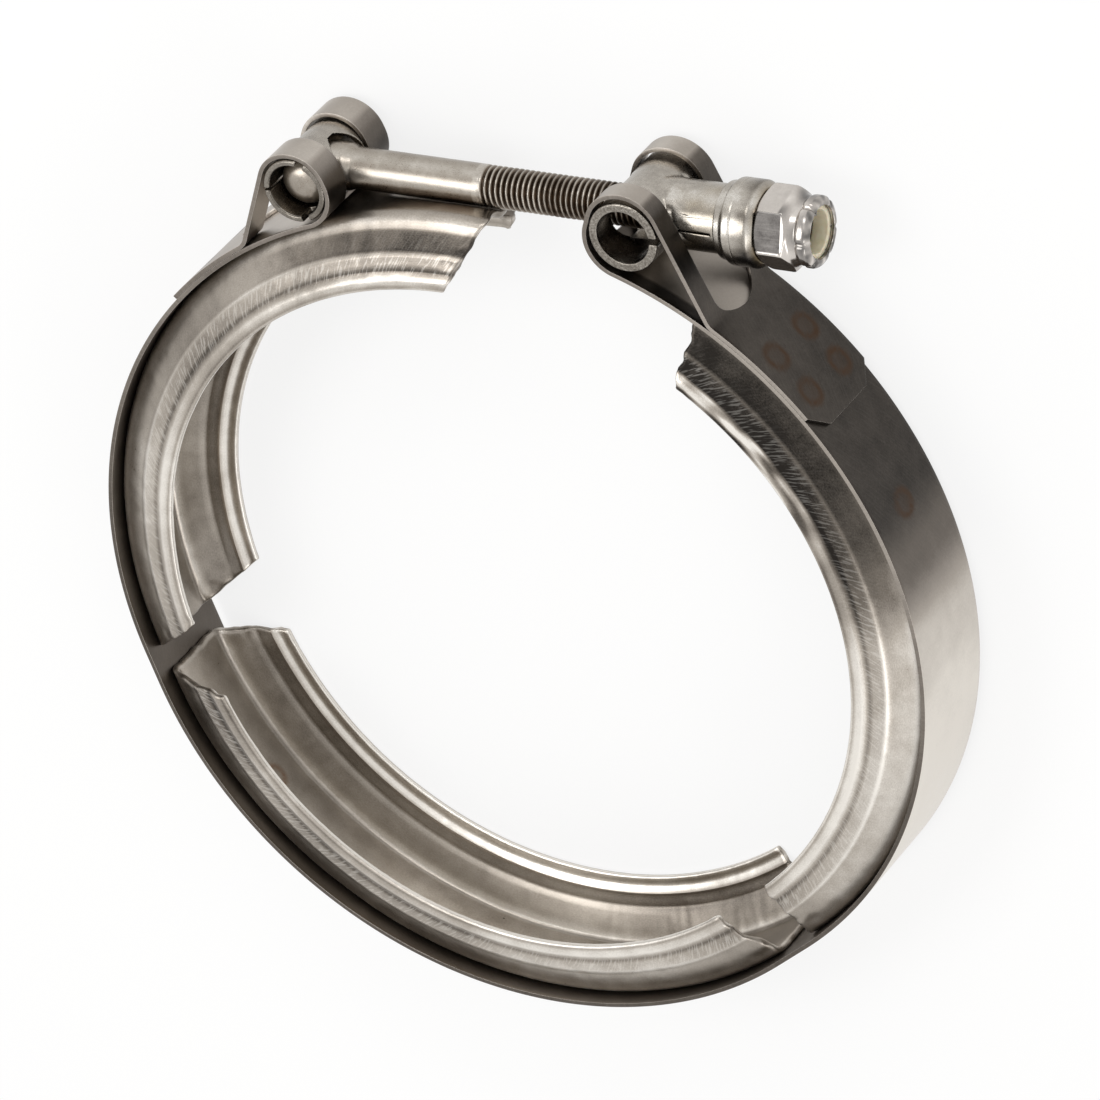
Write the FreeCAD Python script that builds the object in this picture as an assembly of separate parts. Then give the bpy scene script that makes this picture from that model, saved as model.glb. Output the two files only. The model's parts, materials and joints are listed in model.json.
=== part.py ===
import FreeCAD, Part
import math
import os

# Lengths are in millimetres. Angles are in degrees, counted about the ring's axis +Z from +X.
# The ring lies flat. Its parts are drawn closed, on one circle about the origin, and both arms
# are then swung open about the two places where the strap bends between its retainers.

# Strap: one length of spring-steel sheet
strap_width = 19.0
strap_thickness = 0.65
strap_radius = 65.45
lap_gap = 0.05

# Places where the strap bends, and how far each arm stands open
left_bend_angle = 194.5
right_bend_angle = 310.7
left_opening = 4.55
right_opening = 5.68

# Loops: inner radius, straight rise beside the trunnion, and angles counted from the loop's foot
left_foot_angle = 105.05
left_loop_radius = 5.2
left_loop_rise = 0.7
left_landing_angle = 12.3
left_slot_width = 8.0
left_slot_start_turn = 18.0
left_slot_angle = 16.5
left_slot_corner = 4.0
left_tail_angle = 29.0
right_foot_angle = 75.96
right_loop_radius = 5.55
right_loop_rise = 1.85
right_landing_angle = 15.1
right_slot_width = 11.2
right_slot_start_turn = 40.0
right_slot_angle = 15.6
right_slot_corner = 4.0
right_tail_angle = 34.0
landing_bend = 3.0

# Clipped corners of the strap's two ends, and the spot welds that hold each tail down
corner_length = 3.0
corner_width = 3.6
weld_size = 2.8
weld_half_spacing = 4.8
left_weld_angles = (22.7, 26.5)
right_weld_angles = (23.1, 29.3)

# Retainers: roll-formed V channels, bend by bend from the flat base to the lip
retainer_sheet = 1.0
retainer_seat_gap = 0.05
base_half_width = 5.4
bend_depth = 0.9
bend_spread = 1.45
wall_depth = 6.65
wall_spread = 3.15
lip_depth = 3.1
lip_spread = 0.5
flange_depth = 11.65

# Trough pressed into the left retainer's base, where the open clamp's bolt lies over it
trough_gap = 0.3

# Angles of each retainer's ends, at the lip and at the base
left_lip_angles = (85.2, 187.9)
left_base_angles = (79.2, 193.2)
lower_lip_angles = (200.4, 305.2)
lower_base_angles = (196.0, 308.0)
right_lip_angles = (316.3, 421.2)
right_base_angles = (313.4, 424.2)

# Head tube: rolled from sheet, split along one side and notched at its front end
tube_diameter = 10.3
tube_sheet = 1.05
tube_end_inset = 0.1
tube_seam = 0.3
tube_seam_angle = 183.0
tube_notch_angles = (72.0, 288.0)
tube_notch_width = 1.4
tube_notch_depth = 3.0
shank_opening_width = 7.6
shank_opening_length = 9.6

# T-bolt
head_diameter = 8.0
head_length = 15.0
head_rounding = 2.8
head_rounding_steps = 3
shank_diameter = 6.35
bolt_reach = 26.0
bolt_chamfer = 0.7
neck_land = 0.5
neck_length = 1.6
neck_spread = 0.5

# Trunnion: barrel and sleeve folded from one sheet, with a seam on each side of the bolt
barrel_diameter = 11.2
trunnion_sheet = 1.35
barrel_end_inset = 0.1
barrel_seat_gap = 0.1
barrel_opening = 9.0
barrel_seam = 1.0
sleeve_diameter = 10.4
sleeve_seam = 0.35
sleeve_seam_end = 12.2
seam_taper = 1.0

# Ferrule on the sleeve's end, placed along the bolt from the trunnion's axis
ferrule_start = 12.8
ferrule_end = 19.35
ferrule_diameter = 13.1
ferrule_mouth_diameter = 12.0
ferrule_shoulder_place = 14.6
ferrule_end_chamfer = 0.9

# Lock nut with a crimped crown, and its insert
nut_face_gap = 0.05
nut_sides = 6
nut_across_flats = 11.2
nut_hex_length = 5.2
nut_corner_angle = 36.0
nut_face_diameter = 10.7
nut_chamfer_slope = 30.0
thread_clearance = 0.1
crown_waist_diameter = 9.8
crown_waist_length = 1.0
crown_diameter = 10.7
crown_bulge_length = 1.2
crown_roll = 0.8
crown_length = 3.4
crown_mouth_diameter = 7.7
crown_wall = 0.9
insert_length = 2.0
insert_clearance = 0.05

origin = FreeCAD.Vector(0, 0, 0)
ring_axis = FreeCAD.Vector(0, 0, 1)
bolt_axis = FreeCAD.Vector(1, 0, 0)
strap_mid_radius = strap_radius - strap_thickness / 2
tail_mid_radius = strap_mid_radius + strap_thickness + lap_gap
bottom_angle = (left_bend_angle + right_bend_angle) / 2
base_outer_radius = strap_radius - strap_thickness - retainer_seat_gap
flange_radius = strap_radius - flange_depth
tube_length = strap_width - 2 * tube_end_inset
barrel_length = strap_width - 2 * barrel_end_inset
nut_start = ferrule_end + nut_face_gap
hex_end = nut_start + nut_hex_length
crown_end = hex_end + crown_length
pocket_start = crown_end - crown_wall - insert_length


def heading(angle):
    turn = math.radians(angle)
    return FreeCAD.Vector(math.cos(turn), math.sin(turn), 0)


# A bent sheet's path is a list of moves, each a length along the sheet and the turn made over it
def straight(length):
    return (length, 0.0)


def bend(radius, turn):
    return (radius * math.radians(abs(turn)), turn)


def step(place, course, move):
    length, turn = move
    if turn == 0:
        return place + heading(course) * length, course
    side = math.copysign(90, turn)
    radius = length / math.radians(abs(turn))
    centre = place + heading(course + side) * radius
    return centre - heading(course + turn + side) * radius, course + turn


def follow(place, course, moves):
    for move in moves:
        place, course = step(place, course, move)
    return place, course


def half(move):
    return (move[0] / 2, move[1] / 2)


def aside(station, offset):
    place, course = station
    return place + heading(course + 90) * offset


def side_edges(station, moves, offset):
    edges = []
    for move in moves:
        end = step(*station, move)
        if move[1] == 0:
            edges.append(Part.makeLine(aside(station, offset), aside(end, offset)))
        else:
            middle = step(*station, half(move))
            places = [aside(where, offset) for where in (station, middle, end)]
            edges.append(Part.Arc(*places).toShape())
        station = end
    return edges


# The sheet's section between two offsets, both measured to the left of the path
def section(station, moves, near, far):
    end = follow(*station, moves)
    caps = [Part.makeLine(aside(where, near), aside(where, far)) for where in (station, end)]
    edges = side_edges(station, moves, near) + side_edges(station, moves, far) + caps
    return Part.Face(Part.Wire(Part.__sortEdges__(edges)))


def course_of(vector):
    return math.degrees(math.atan2(vector.y, vector.x))


# A bent profile's corners moved to the left by an offset, each along its mitre
def mitred(corners, offset):
    courses = [course_of(end - start) for start, end in zip(corners, corners[1:])]
    moved = []
    for corner, arriving, leaving in zip(corners, courses[:1] + courses, courses + courses[-1:]):
        mitre = math.cos(math.radians((leaving - arriving) / 2))
        moved.append(corner + heading((arriving + leaving) / 2 + 90) * (offset / mitre))
    return moved


# A ring wall between two radii, centred on the ring's mid-plane
def ring_wall(inner, outer, height):
    low = FreeCAD.Vector(0, 0, -height / 2)
    return Part.makeCylinder(outer, height, low).cut(Part.makeCylinder(inner, height, low))


def ring_disc(radius):
    return Part.makeCylinder(radius, strap_width, FreeCAD.Vector(0, 0, -strap_width / 2))


def hinge(bend_angle, opening):
    return heading(bend_angle) * (strap_mid_radius / math.cos(math.radians(opening / 2)))


left_hinge = hinge(left_bend_angle, left_opening)
right_hinge = hinge(right_bend_angle, right_opening)


def open_left(shape):
    return shape.rotated(left_hinge, ring_axis, left_opening)


def open_right(shape):
    return shape.rotated(right_hinge, ring_axis, -right_opening)


# One loop, from its foot on the band round the trunnion and down to the end of the tail.
# It is drawn for the left arm, whose path runs clockwise about the ring.
def loop_moves(inner_radius, rise, landing_angle, tail_angle):
    loop_bend = inner_radius + strap_thickness / 2
    crest = FreeCAD.Vector(0, strap_mid_radius + loop_bend + rise, 0)
    landing = heading(90 + landing_angle) * (tail_mid_radius + landing_bend)
    across = landing - crest
    lean = math.degrees(math.asin((loop_bend + landing_bend) / across.Length))
    course = course_of(across) % 360 + lean
    moves = [
        bend(loop_bend, 90),
        straight(rise),
        bend(loop_bend, course - 90),
        straight(across.Length * math.cos(math.radians(lean))),
        bend(landing_bend, 180 + landing_angle - course),
        bend(tail_mid_radius, tail_angle - landing_angle),
    ]
    return [move for move in moves if move[0] > 0]


def mirrored(moves):
    return [(length, -turn) for length, turn in moves]


# Half of the strap, from its lowest point outward; the turns are those of the right arm
def arm_moves(to_bend, opening, to_foot, loop):
    flat = 2 * strap_mid_radius * math.tan(math.radians(opening / 2))
    band = [
        bend(strap_mid_radius, to_bend - opening / 2),
        straight(flat),
        bend(strap_mid_radius, to_foot - opening / 2),
    ]
    return band + mirrored(loop)


left_loop = loop_moves(left_loop_radius, left_loop_rise, left_landing_angle, left_tail_angle)
right_loop = loop_moves(right_loop_radius, right_loop_rise, right_landing_angle, right_tail_angle)
left_centre_radius = strap_radius + left_loop_radius + left_loop_rise / 2
right_centre_radius = strap_radius + right_loop_radius + right_loop_rise / 2


# What stays standing in the two corners of a slot's end, so that the cut comes out round.
# The frame's X axis points out of the sheet at that end, and the slot lies to the given side of it.
def corner_spandrels(frame_origin, frame_angle, slot_side, width, corner):
    outward = FreeCAD.Vector(strap_radius * 2, 0, 0)
    along = FreeCAD.Vector(0, -slot_side * corner, 0)
    spandrels = []
    for face in (-1, 1):
        middle = FreeCAD.Vector(0, slot_side * corner, face * (width / 2 - corner))
        across = FreeCAD.Vector(0, 0, face * corner)
        outline = Part.makePolygon([middle, middle + along, middle + along + across, middle + across, middle])
        drill = Part.makeCylinder(corner, outward.Length, middle, outward)
        spandrel = Part.Face(outline).extrude(outward).cut(drill).rotated(origin, ring_axis, frame_angle)
        spandrels.append(spandrel.translated(frame_origin))
    return spandrels


# The slot lets the bolt or sleeve through one loop. It is cut in the closed position, from partway
# up the loop's first bend, over its top and down the leg to the slot's end on the tail.
def slot_cutter(foot_angle, side, inner_radius, loop, landing_angle, start_turn, slot_angle, width, corner):
    loop_bend = inner_radius + strap_thickness / 2
    moves = [bend(loop_bend, 90 - start_turn), *loop[1:-1], bend(tail_mid_radius, slot_angle - landing_angle)]
    approach = bend(loop_bend, start_turn)
    if side > 0:
        moves = mirrored(moves)
        approach = mirrored([approach])[0]
    foot = (heading(foot_angle) * strap_mid_radius, foot_angle + side * 90)
    inward = strap_thickness / 2 + lap_gap / 2
    outward = strap_thickness * 2
    strip = section(step(*foot, approach), moves, -side * inward, side * outward)
    window = strip.extrude(FreeCAD.Vector(0, 0, width))
    window.translate(FreeCAD.Vector(0, 0, -width / 2))
    bend_centre = heading(foot_angle) * (strap_radius + inner_radius)
    start = corner_spandrels(bend_centre, foot_angle + 180 - side * start_turn, -side, width, corner)
    end = corner_spandrels(origin, foot_angle - side * slot_angle, side, width, corner)
    return window.cut(start + end)


# A wedge beyond each clipped corner of a tail's end
def corner_cutter(end_angle, side):
    outward = heading(end_angle)
    along = heading(end_angle + side * 90)
    wedges = []
    for face in (-1, 1):
        edge = FreeCAD.Vector(0, 0, face * strap_width / 2)
        inset = FreeCAD.Vector(0, 0, -face * corner_width)
        corners = [
            edge + inset * 2 - along * corner_length,
            edge + along * corner_length * 2 - inset,
            edge - along * corner_length - inset,
        ]
        outline = Part.makePolygon(corners + corners[:1])
        outline.translate(outward * strap_mid_radius * math.cos(math.radians(corner_length)))
        wedges.append(Part.Face(outline).extrude(outward * strap_radius))
    beyond = ring_wall(strap_radius + lap_gap / 2, strap_radius + landing_bend, strap_width)
    return wedges[0].fuse(wedges[1]).common(beyond)


def weld_nuggets(foot_angle, side, weld_angles):
    nuggets = []
    for angle in weld_angles:
        for face in (-1, 1):
            low = FreeCAD.Vector(strap_mid_radius, -weld_size / 2, face * weld_half_spacing - weld_size / 2)
            nugget = Part.makeBox(tail_mid_radius - strap_mid_radius, weld_size, weld_size, low)
            nuggets.append(nugget.rotated(origin, ring_axis, foot_angle - side * angle))
    return nuggets


def make_strap():
    left = mirrored(arm_moves(bottom_angle - left_bend_angle, left_opening,
                              left_bend_angle - left_foot_angle, left_loop))
    right = arm_moves(right_bend_angle - bottom_angle, right_opening,
                      right_foot_angle + 360 - right_bend_angle, right_loop)
    bottom = heading(bottom_angle) * strap_mid_radius
    tail, course = follow(bottom, bottom_angle - 90, left)
    path = mirrored(reversed(left)) + right
    sheet = section((tail, course + 180), path, -strap_thickness / 2, strap_thickness / 2)
    strap = sheet.extrude(FreeCAD.Vector(0, 0, strap_width))
    strap.translate(FreeCAD.Vector(0, 0, -strap_width / 2))
    left_cuts = [
        slot_cutter(left_foot_angle, -1, left_loop_radius, left_loop, left_landing_angle,
                    left_slot_start_turn, left_slot_angle, left_slot_width, left_slot_corner),
        corner_cutter(left_foot_angle + left_tail_angle, -1),
    ]
    right_cuts = [
        slot_cutter(right_foot_angle, 1, right_loop_radius, right_loop, right_landing_angle,
                    right_slot_start_turn, right_slot_angle, right_slot_width, right_slot_corner),
        corner_cutter(right_foot_angle - right_tail_angle, 1),
    ]
    nuggets = [open_left(nugget) for nugget in weld_nuggets(left_foot_angle, -1, left_weld_angles)]
    nuggets += [open_right(nugget) for nugget in weld_nuggets(right_foot_angle, 1, right_weld_angles)]
    cuts = [open_left(cut) for cut in left_cuts] + [open_right(cut) for cut in right_cuts]
    return strap.cut(cuts).fuse(nuggets).removeSplitter()


# The V section is drawn with the radius along X and the width along Y, then stood up.
# Corners run from one lip over the base to the other.
def retainer_section():
    corner = FreeCAD.Vector(base_outer_radius - retainer_sheet / 2, base_half_width, 0)
    upper = [corner]
    for depth, spread in ((bend_depth, bend_spread), (wall_depth, wall_spread), (lip_depth, lip_spread)):
        corner = corner + FreeCAD.Vector(-depth, spread, 0)
        upper.append(corner)
    lower = [FreeCAD.Vector(corner.x, -corner.y, 0) for corner in upper]
    corners = lower[::-1] + upper
    outline = mitred(corners, retainer_sheet / 2) + mitred(corners, -retainer_sheet / 2)[::-1]
    sheet = Part.Face(Part.makePolygon(outline + outline[:1]))
    return sheet.rotated(origin, FreeCAD.Vector(1, 0, 0), 90)


# A prism with slanted ends, as the channel's ends are sheared from the lip out to the base
def end_shears(lip_angles, base_angles):
    corners = []
    for lip_angle, base_angle in zip(lip_angles, base_angles):
        inner = heading(lip_angle) * flange_radius
        outer = heading(base_angle) * strap_radius
        corners.append([inner * 2 - outer, outer * 2 - inner])
    middle = heading(sum(base_angles) / 2) * strap_radius * 4
    outline = [*corners[0], middle, *corners[1][::-1], corners[0][0]]
    low = FreeCAD.Vector(0, 0, -strap_width)
    prism = Part.Face(Part.makePolygon(outline)).extrude(low * -2)
    prism.translate(low)
    return prism


def make_retainer(lip_angles, base_angles):
    start = min(lip_angles[0], base_angles[0])
    sweep = max(lip_angles[1], base_angles[1]) - start
    channel = retainer_section().rotated(origin, ring_axis, start).revolve(origin, ring_axis, sweep)
    mouth = Part.makeCylinder(flange_radius, 2 * strap_width, FreeCAD.Vector(0, 0, -strap_width))
    return channel.common(end_shears(lip_angles, base_angles)).cut(mouth)


# The trough under the open bolt, pressed down from the base and open at the channel's end
def with_trough(retainer):
    groove_radius = shank_diameter / 2 + trough_gap
    outer = Part.makeCylinder(groove_radius + retainer_sheet, bolt_run.Length, left_axis, bolt_run)
    groove = Part.makeCylinder(groove_radius, bolt_run.Length, left_axis, bolt_run)
    inside = ring_disc(base_outer_radius).common(end_shears(left_lip_angles, left_base_angles))
    return retainer.fuse(outer.common(open_left(inside))).cut(groove)


# The latch parts are drawn with their own trunnion axis on +Z and the bolt along +X
def tube_wall(diameter, sheet, length):
    return ring_wall(diameter / 2 - sheet, diameter / 2, length)


def oblong_opening(width, length, reach):
    half_straight = (length - width) / 2
    ends = [FreeCAD.Vector(0, place, 0) for place in (-half_straight, half_straight)]
    drills = [Part.makeCylinder(width / 2, reach, end, bolt_axis) for end in ends]
    box = Part.makeBox(reach, length - width, width, FreeCAD.Vector(0, -half_straight, -width / 2))
    return drills[0].fuse([drills[1], box])


def radial_slit(angle, width, height, low):
    slit = Part.makeBox(tube_diameter, width, height, FreeCAD.Vector(0, -width / 2, low))
    return slit.rotated(origin, ring_axis, angle)


def make_head_tube():
    tube = tube_wall(tube_diameter, tube_sheet, tube_length)
    seam = radial_slit(tube_seam_angle, tube_seam, tube_length, -tube_length / 2)
    low = tube_length / 2 - tube_notch_depth
    notches = [radial_slit(angle, tube_notch_width, tube_notch_depth, low) for angle in tube_notch_angles]
    opening = oblong_opening(shank_opening_width, shank_opening_length, tube_diameter)
    return tube.cut([seam, opening] + notches)


def turned(profile, axis):
    return Part.Face(Part.makePolygon(profile + profile[:1])).revolve(origin, axis, 360)


# Corners of a round worn or turned on an end, as chords of a quarter circle
def rounded_rim(radius, end, rounding, steps):
    corners = []
    for index in range(steps + 1):
        place = heading(90 * index / steps) * rounding
        corners.append(FreeCAD.Vector(radius - rounding + place.y, 0, end - rounding + place.x))
    return corners


def make_t_bolt(length):
    radius = head_diameter / 2
    rim = rounded_rim(radius, head_length / 2, head_rounding, head_rounding_steps)
    low_rim = [FreeCAD.Vector(corner.x, 0, -corner.z) for corner in rim[::-1]]
    head = turned([FreeCAD.Vector(0, 0, head_length / 2), *rim, *low_rim,
                   FreeCAD.Vector(0, 0, -head_length / 2)], ring_axis)
    shank_radius = shank_diameter / 2
    shank = turned([
        origin,
        FreeCAD.Vector(0, shank_radius + neck_spread, 0),
        FreeCAD.Vector(radius + neck_land, shank_radius + neck_spread, 0),
        FreeCAD.Vector(radius + neck_land + neck_length, shank_radius, 0),
        FreeCAD.Vector(length - bolt_chamfer, shank_radius, 0),
        FreeCAD.Vector(length, shank_radius - bolt_chamfer, 0),
        FreeCAD.Vector(length, 0, 0),
    ], bolt_axis)
    return head.fuse(shank).removeSplitter()


def make_trunnion():
    barrel = Part.makeCylinder(barrel_diameter / 2, barrel_length, FreeCAD.Vector(0, 0, -barrel_length / 2))
    sleeve = Part.makeCylinder(sleeve_diameter / 2, ferrule_end, origin, bolt_axis)
    body = barrel.fuse(sleeve)
    bore = Part.makeCylinder(barrel_diameter / 2 - trunnion_sheet, barrel_length,
                             FreeCAD.Vector(0, 0, -barrel_length / 2))
    way = Part.makeCylinder(sleeve_diameter / 2 - trunnion_sheet, ferrule_end, origin, bolt_axis)
    opening = Part.makeCylinder(barrel_opening / 2, barrel_diameter, origin, -bolt_axis)
    seam_height = FreeCAD.Vector(0, 0, barrel_length)
    seam_outline = [
        FreeCAD.Vector(0, -barrel_seam / 2, 0),
        FreeCAD.Vector(barrel_diameter / 2, -barrel_seam / 2, 0),
        FreeCAD.Vector(barrel_diameter / 2 + seam_taper, -sleeve_seam / 2, 0),
        FreeCAD.Vector(sleeve_seam_end, -sleeve_seam / 2, 0),
        FreeCAD.Vector(sleeve_seam_end, sleeve_seam / 2, 0),
        FreeCAD.Vector(barrel_diameter / 2 + seam_taper, sleeve_seam / 2, 0),
        FreeCAD.Vector(barrel_diameter / 2, barrel_seam / 2, 0),
        FreeCAD.Vector(0, barrel_seam / 2, 0),
    ]
    seam = Part.Face(Part.makePolygon(seam_outline + seam_outline[:1])).extrude(seam_height)
    seam.translate(-seam_height / 2)
    return body.cut([bore, way, opening, seam])


def make_ferrule():
    inner = sleeve_diameter / 2
    places = [
        (ferrule_start, inner),
        (ferrule_start, ferrule_mouth_diameter / 2),
        (ferrule_shoulder_place, ferrule_mouth_diameter / 2),
        (ferrule_shoulder_place, ferrule_diameter / 2),
        (ferrule_end - ferrule_end_chamfer, ferrule_diameter / 2),
        (ferrule_end, ferrule_diameter / 2 - ferrule_end_chamfer),
        (ferrule_end, inner),
    ]
    return turned([FreeCAD.Vector(*place, 0) for place in places], bolt_axis)


def bolt_hole():
    return Part.makeCylinder(shank_diameter / 2 + thread_clearance, crown_end, origin, bolt_axis)


def make_lock_nut():
    corner_radius = nut_across_flats / 2 / math.cos(math.pi / nut_sides)
    corners = []
    for index in range(nut_sides):
        corner = heading(nut_corner_angle + 360 / nut_sides * index) * corner_radius
        corners.append(FreeCAD.Vector(nut_start, corner.x, corner.y))
    hexagon = Part.Face(Part.makePolygon(corners + corners[:1])).extrude(bolt_axis * nut_hex_length)
    face_radius = nut_face_diameter / 2
    chamfer = (corner_radius - face_radius) * math.tan(math.radians(nut_chamfer_slope))
    waist = crown_waist_diameter / 2
    rim = crown_diameter / 2
    mouth = crown_mouth_diameter / 2
    envelope = turned([FreeCAD.Vector(*place, 0) for place in (
        (nut_start, 0),
        (nut_start, corner_radius),
        (hex_end - chamfer, corner_radius),
        (hex_end, face_radius),
        (hex_end, 0),
    )], bolt_axis)
    bulge_end = crown_end - crown_roll
    crown = turned([FreeCAD.Vector(*place, 0) for place in (
        (hex_end - chamfer, 0),
        (hex_end - chamfer, waist),
        (hex_end + crown_waist_length, waist),
        (bulge_end - crown_bulge_length, rim),
        (bulge_end, rim),
        (crown_end, mouth),
        (crown_end, 0),
    )], bolt_axis)
    pocket = Part.makeCylinder(waist - crown_wall, insert_length, bolt_axis * pocket_start, bolt_axis)
    way_in = Part.makeCylinder(mouth, crown_wall * 2, bolt_axis * (crown_end - crown_wall), bolt_axis)
    return hexagon.common(envelope).fuse(crown).cut([bolt_hole(), pocket, way_in])


def make_nylon_insert():
    length = insert_length - 2 * insert_clearance
    outer = crown_waist_diameter / 2 - crown_wall - insert_clearance
    start = bolt_axis * (pocket_start + insert_clearance)
    return Part.makeCylinder(outer, length, start, bolt_axis).cut(bolt_hole())


# Trunnion axes: on each loop when closed, then carried open with the arm
left_closed = heading(left_foot_angle) * left_centre_radius
barrel_shift = right_loop_radius - barrel_diameter / 2 - barrel_seat_gap
right_closed = heading(right_foot_angle) * right_centre_radius
right_closed += heading(right_foot_angle + 90) * barrel_shift
left_axis = open_left(Part.Vertex(left_closed)).Point
right_axis = open_right(Part.Vertex(right_closed)).Point
bolt_run = right_axis - left_axis
bolt_course = course_of(bolt_run)


def seated(shape, place):
    placed = shape.rotated(origin, ring_axis, bolt_course)
    placed.translate(place)
    return placed


nodes = {
    "band_strap": make_strap(),
    "retainer_left": with_trough(open_left(make_retainer(left_lip_angles, left_base_angles))),
    "retainer_lower": make_retainer(lower_lip_angles, lower_base_angles),
    "retainer_right": open_right(make_retainer(right_lip_angles, right_base_angles)),
    "head_tube": seated(make_head_tube(), left_axis),
    "t_bolt": seated(make_t_bolt(bolt_run.Length + bolt_reach), left_axis),
    "trunnion": seated(make_trunnion(), right_axis),
    "ferrule": seated(make_ferrule(), right_axis),
    "lock_nut": seated(make_lock_nut(), right_axis),
    "nylon_insert": seated(make_nylon_insert(), right_axis),
}

os.makedirs("parts", exist_ok=True)
for name, shape in nodes.items():
    shape.exportStep(f"parts/{name}.step")
    print(name, len(shape.Solids), "solid", round(shape.Volume, 1), "mm3, valid", shape.isValid())
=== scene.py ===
import json
import math

import bmesh
import bpy
from mathutils import Matrix, Vector, noise


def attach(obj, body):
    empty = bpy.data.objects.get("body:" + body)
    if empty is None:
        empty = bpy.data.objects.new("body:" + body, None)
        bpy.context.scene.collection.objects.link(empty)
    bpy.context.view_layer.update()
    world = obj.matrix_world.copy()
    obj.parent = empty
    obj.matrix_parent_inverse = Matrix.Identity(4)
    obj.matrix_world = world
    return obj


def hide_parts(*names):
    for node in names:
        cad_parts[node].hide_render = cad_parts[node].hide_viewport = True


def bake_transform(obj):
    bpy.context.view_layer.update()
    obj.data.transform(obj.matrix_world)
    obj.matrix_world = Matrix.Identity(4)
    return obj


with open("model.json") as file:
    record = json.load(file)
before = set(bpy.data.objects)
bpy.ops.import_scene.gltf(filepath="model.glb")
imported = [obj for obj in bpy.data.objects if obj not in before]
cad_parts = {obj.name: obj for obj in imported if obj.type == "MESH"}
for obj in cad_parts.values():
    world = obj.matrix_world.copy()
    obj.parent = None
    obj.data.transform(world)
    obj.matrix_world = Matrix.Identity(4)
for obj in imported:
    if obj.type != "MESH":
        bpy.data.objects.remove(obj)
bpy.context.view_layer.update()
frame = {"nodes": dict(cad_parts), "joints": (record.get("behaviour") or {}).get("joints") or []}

print("frame loaded:", len(frame["nodes"]), "nodes")

# All sizes below are in millimetres and degrees; a mesh is scaled to metres when it is finished.
# The ring's axis is Z. Ring parts are drawn closed, then each arm is swung open about its hinge.
metresPerMm = 0.001
ringAxis = Vector((0, 0, 1))
leftSide, rightSide = -1, 1

ring = {
    "strapWidth": 19.0,
    "strapThickness": 0.65,
    "strapRadius": 65.45,
    "lapGap": 0.05,
    "leftBendAngle": 194.5,
    "rightBendAngle": 310.7,
    "leftOpening": 4.55,
    "rightOpening": 5.68,
}
strapMid = ring["strapRadius"] - ring["strapThickness"] / 2
tailMid = strapMid + ring["strapThickness"] + ring["lapGap"]
bottomAngle = (ring["leftBendAngle"] + ring["rightBendAngle"]) / 2


def heading(angle):
    turn = math.radians(angle)
    return Vector((math.cos(turn), math.sin(turn), 0))


def courseOf(vector):
    return math.degrees(math.atan2(vector.y, vector.x))


def jointPlace(name):
    joint = next(each for each in frame["joints"] if each["name"] == name)
    return Vector(joint["pos_m"]) / metresPerMm


leftHinge = jointPlace("left_arm_flex")
rightHinge = jointPlace("right_arm_flex")
leftAxis = jointPlace("bolt_swivel")
rightAxis = jointPlace("trunnion_swivel")
boltRun = rightAxis - leftAxis
boltLine = boltRun.normalized()
boltCourse = courseOf(boltRun)


def swing(point, hinge, angle):
    return hinge + Matrix.Rotation(math.radians(angle), 3, "Z") @ (point - hinge)


def openLeft(point):
    return swing(point, leftHinge, ring["leftOpening"])


def openRight(point):
    return swing(point, rightHinge, -ring["rightOpening"])


def asDrawn(point):
    return point


# A path is a list of moves, each a length and the turn made over it
def straight(length):
    return (length, 0.0)


def bend(radius, turn):
    return (radius * math.radians(abs(turn)), turn)


def mirrored(moves):
    return [(length, -turn) for length, turn in moves]


def step(place, course, move):
    length, turn = move
    if turn == 0:
        return place + heading(course) * length, course
    side = math.copysign(90, turn)
    radius = length / math.radians(abs(turn))
    centre = place + heading(course + side) * radius
    return centre - heading(course + turn + side) * radius, course + turn


def pathAt(start, moves, distance):
    place, course = start
    for length, turn in moves:
        if distance <= length:
            share = distance / length
            return step(place, course, (distance, turn * share)) if share > 0 else (place, course)
        place, course = step(place, course, (length, turn))
        distance -= length
    return place, course


def pathLength(moves):
    return sum(length for length, turn in moves)


# Distances along a path, close enough on its bends to look round
def stops(moves, spacing, turnStep):
    places = [0.0]
    reached = 0.0
    for length, turn in moves:
        parts = max(1, math.ceil(length / spacing), math.ceil(abs(turn) / turnStep))
        places += [reached + length * part / parts for part in range(1, parts + 1)]
        reached += length
    return places


def between(value, low, high):
    share = min(1.0, max(0.0, (value - low) / (high - low)))
    return share * share * (3 - 2 * share)


# Value at a place in a list of (place, value) knots
def graded(place, knots):
    for (fromPlace, fromValue), (toPlace, toValue) in zip(knots, knots[1:]):
        if place <= toPlace:
            return fromValue + (toValue - fromValue) * between(place, fromPlace, toPlace)
    return knots[-1][1]


# One value for each vertex, for the materials to read
def setRow(piece, key, row):
    attribute = piece.data.attributes.get(key) or piece.data.attributes.new(key, "FLOAT", "POINT")
    attribute.data.foreach_set("value", row)


def setValues(piece, key, valueOf):
    setRow(piece, key, [valueOf(vertex.co) for vertex in piece.data.vertices])


def makePiece(name, vertices, faces, uvs=None, values=None):
    mesh = bpy.data.meshes.new(name)
    mesh.from_pydata(vertices, [], faces)
    if uvs:
        layer = mesh.uv_layers.new(name="sheetMm")
        for loop in mesh.loops:
            layer.data[loop.index].uv = uvs[loop.vertex_index]
    piece = bpy.data.objects.new(name, mesh)
    for key, row in (values or {}).items():
        setRow(piece, key, row)
    bpy.context.scene.collection.objects.link(piece)
    return piece


def addModifier(piece, kind, **settings):
    modifier = piece.modifiers.new(kind.lower(), kind)
    for key, value in settings.items():
        setattr(modifier, key, value)
    return modifier


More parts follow.
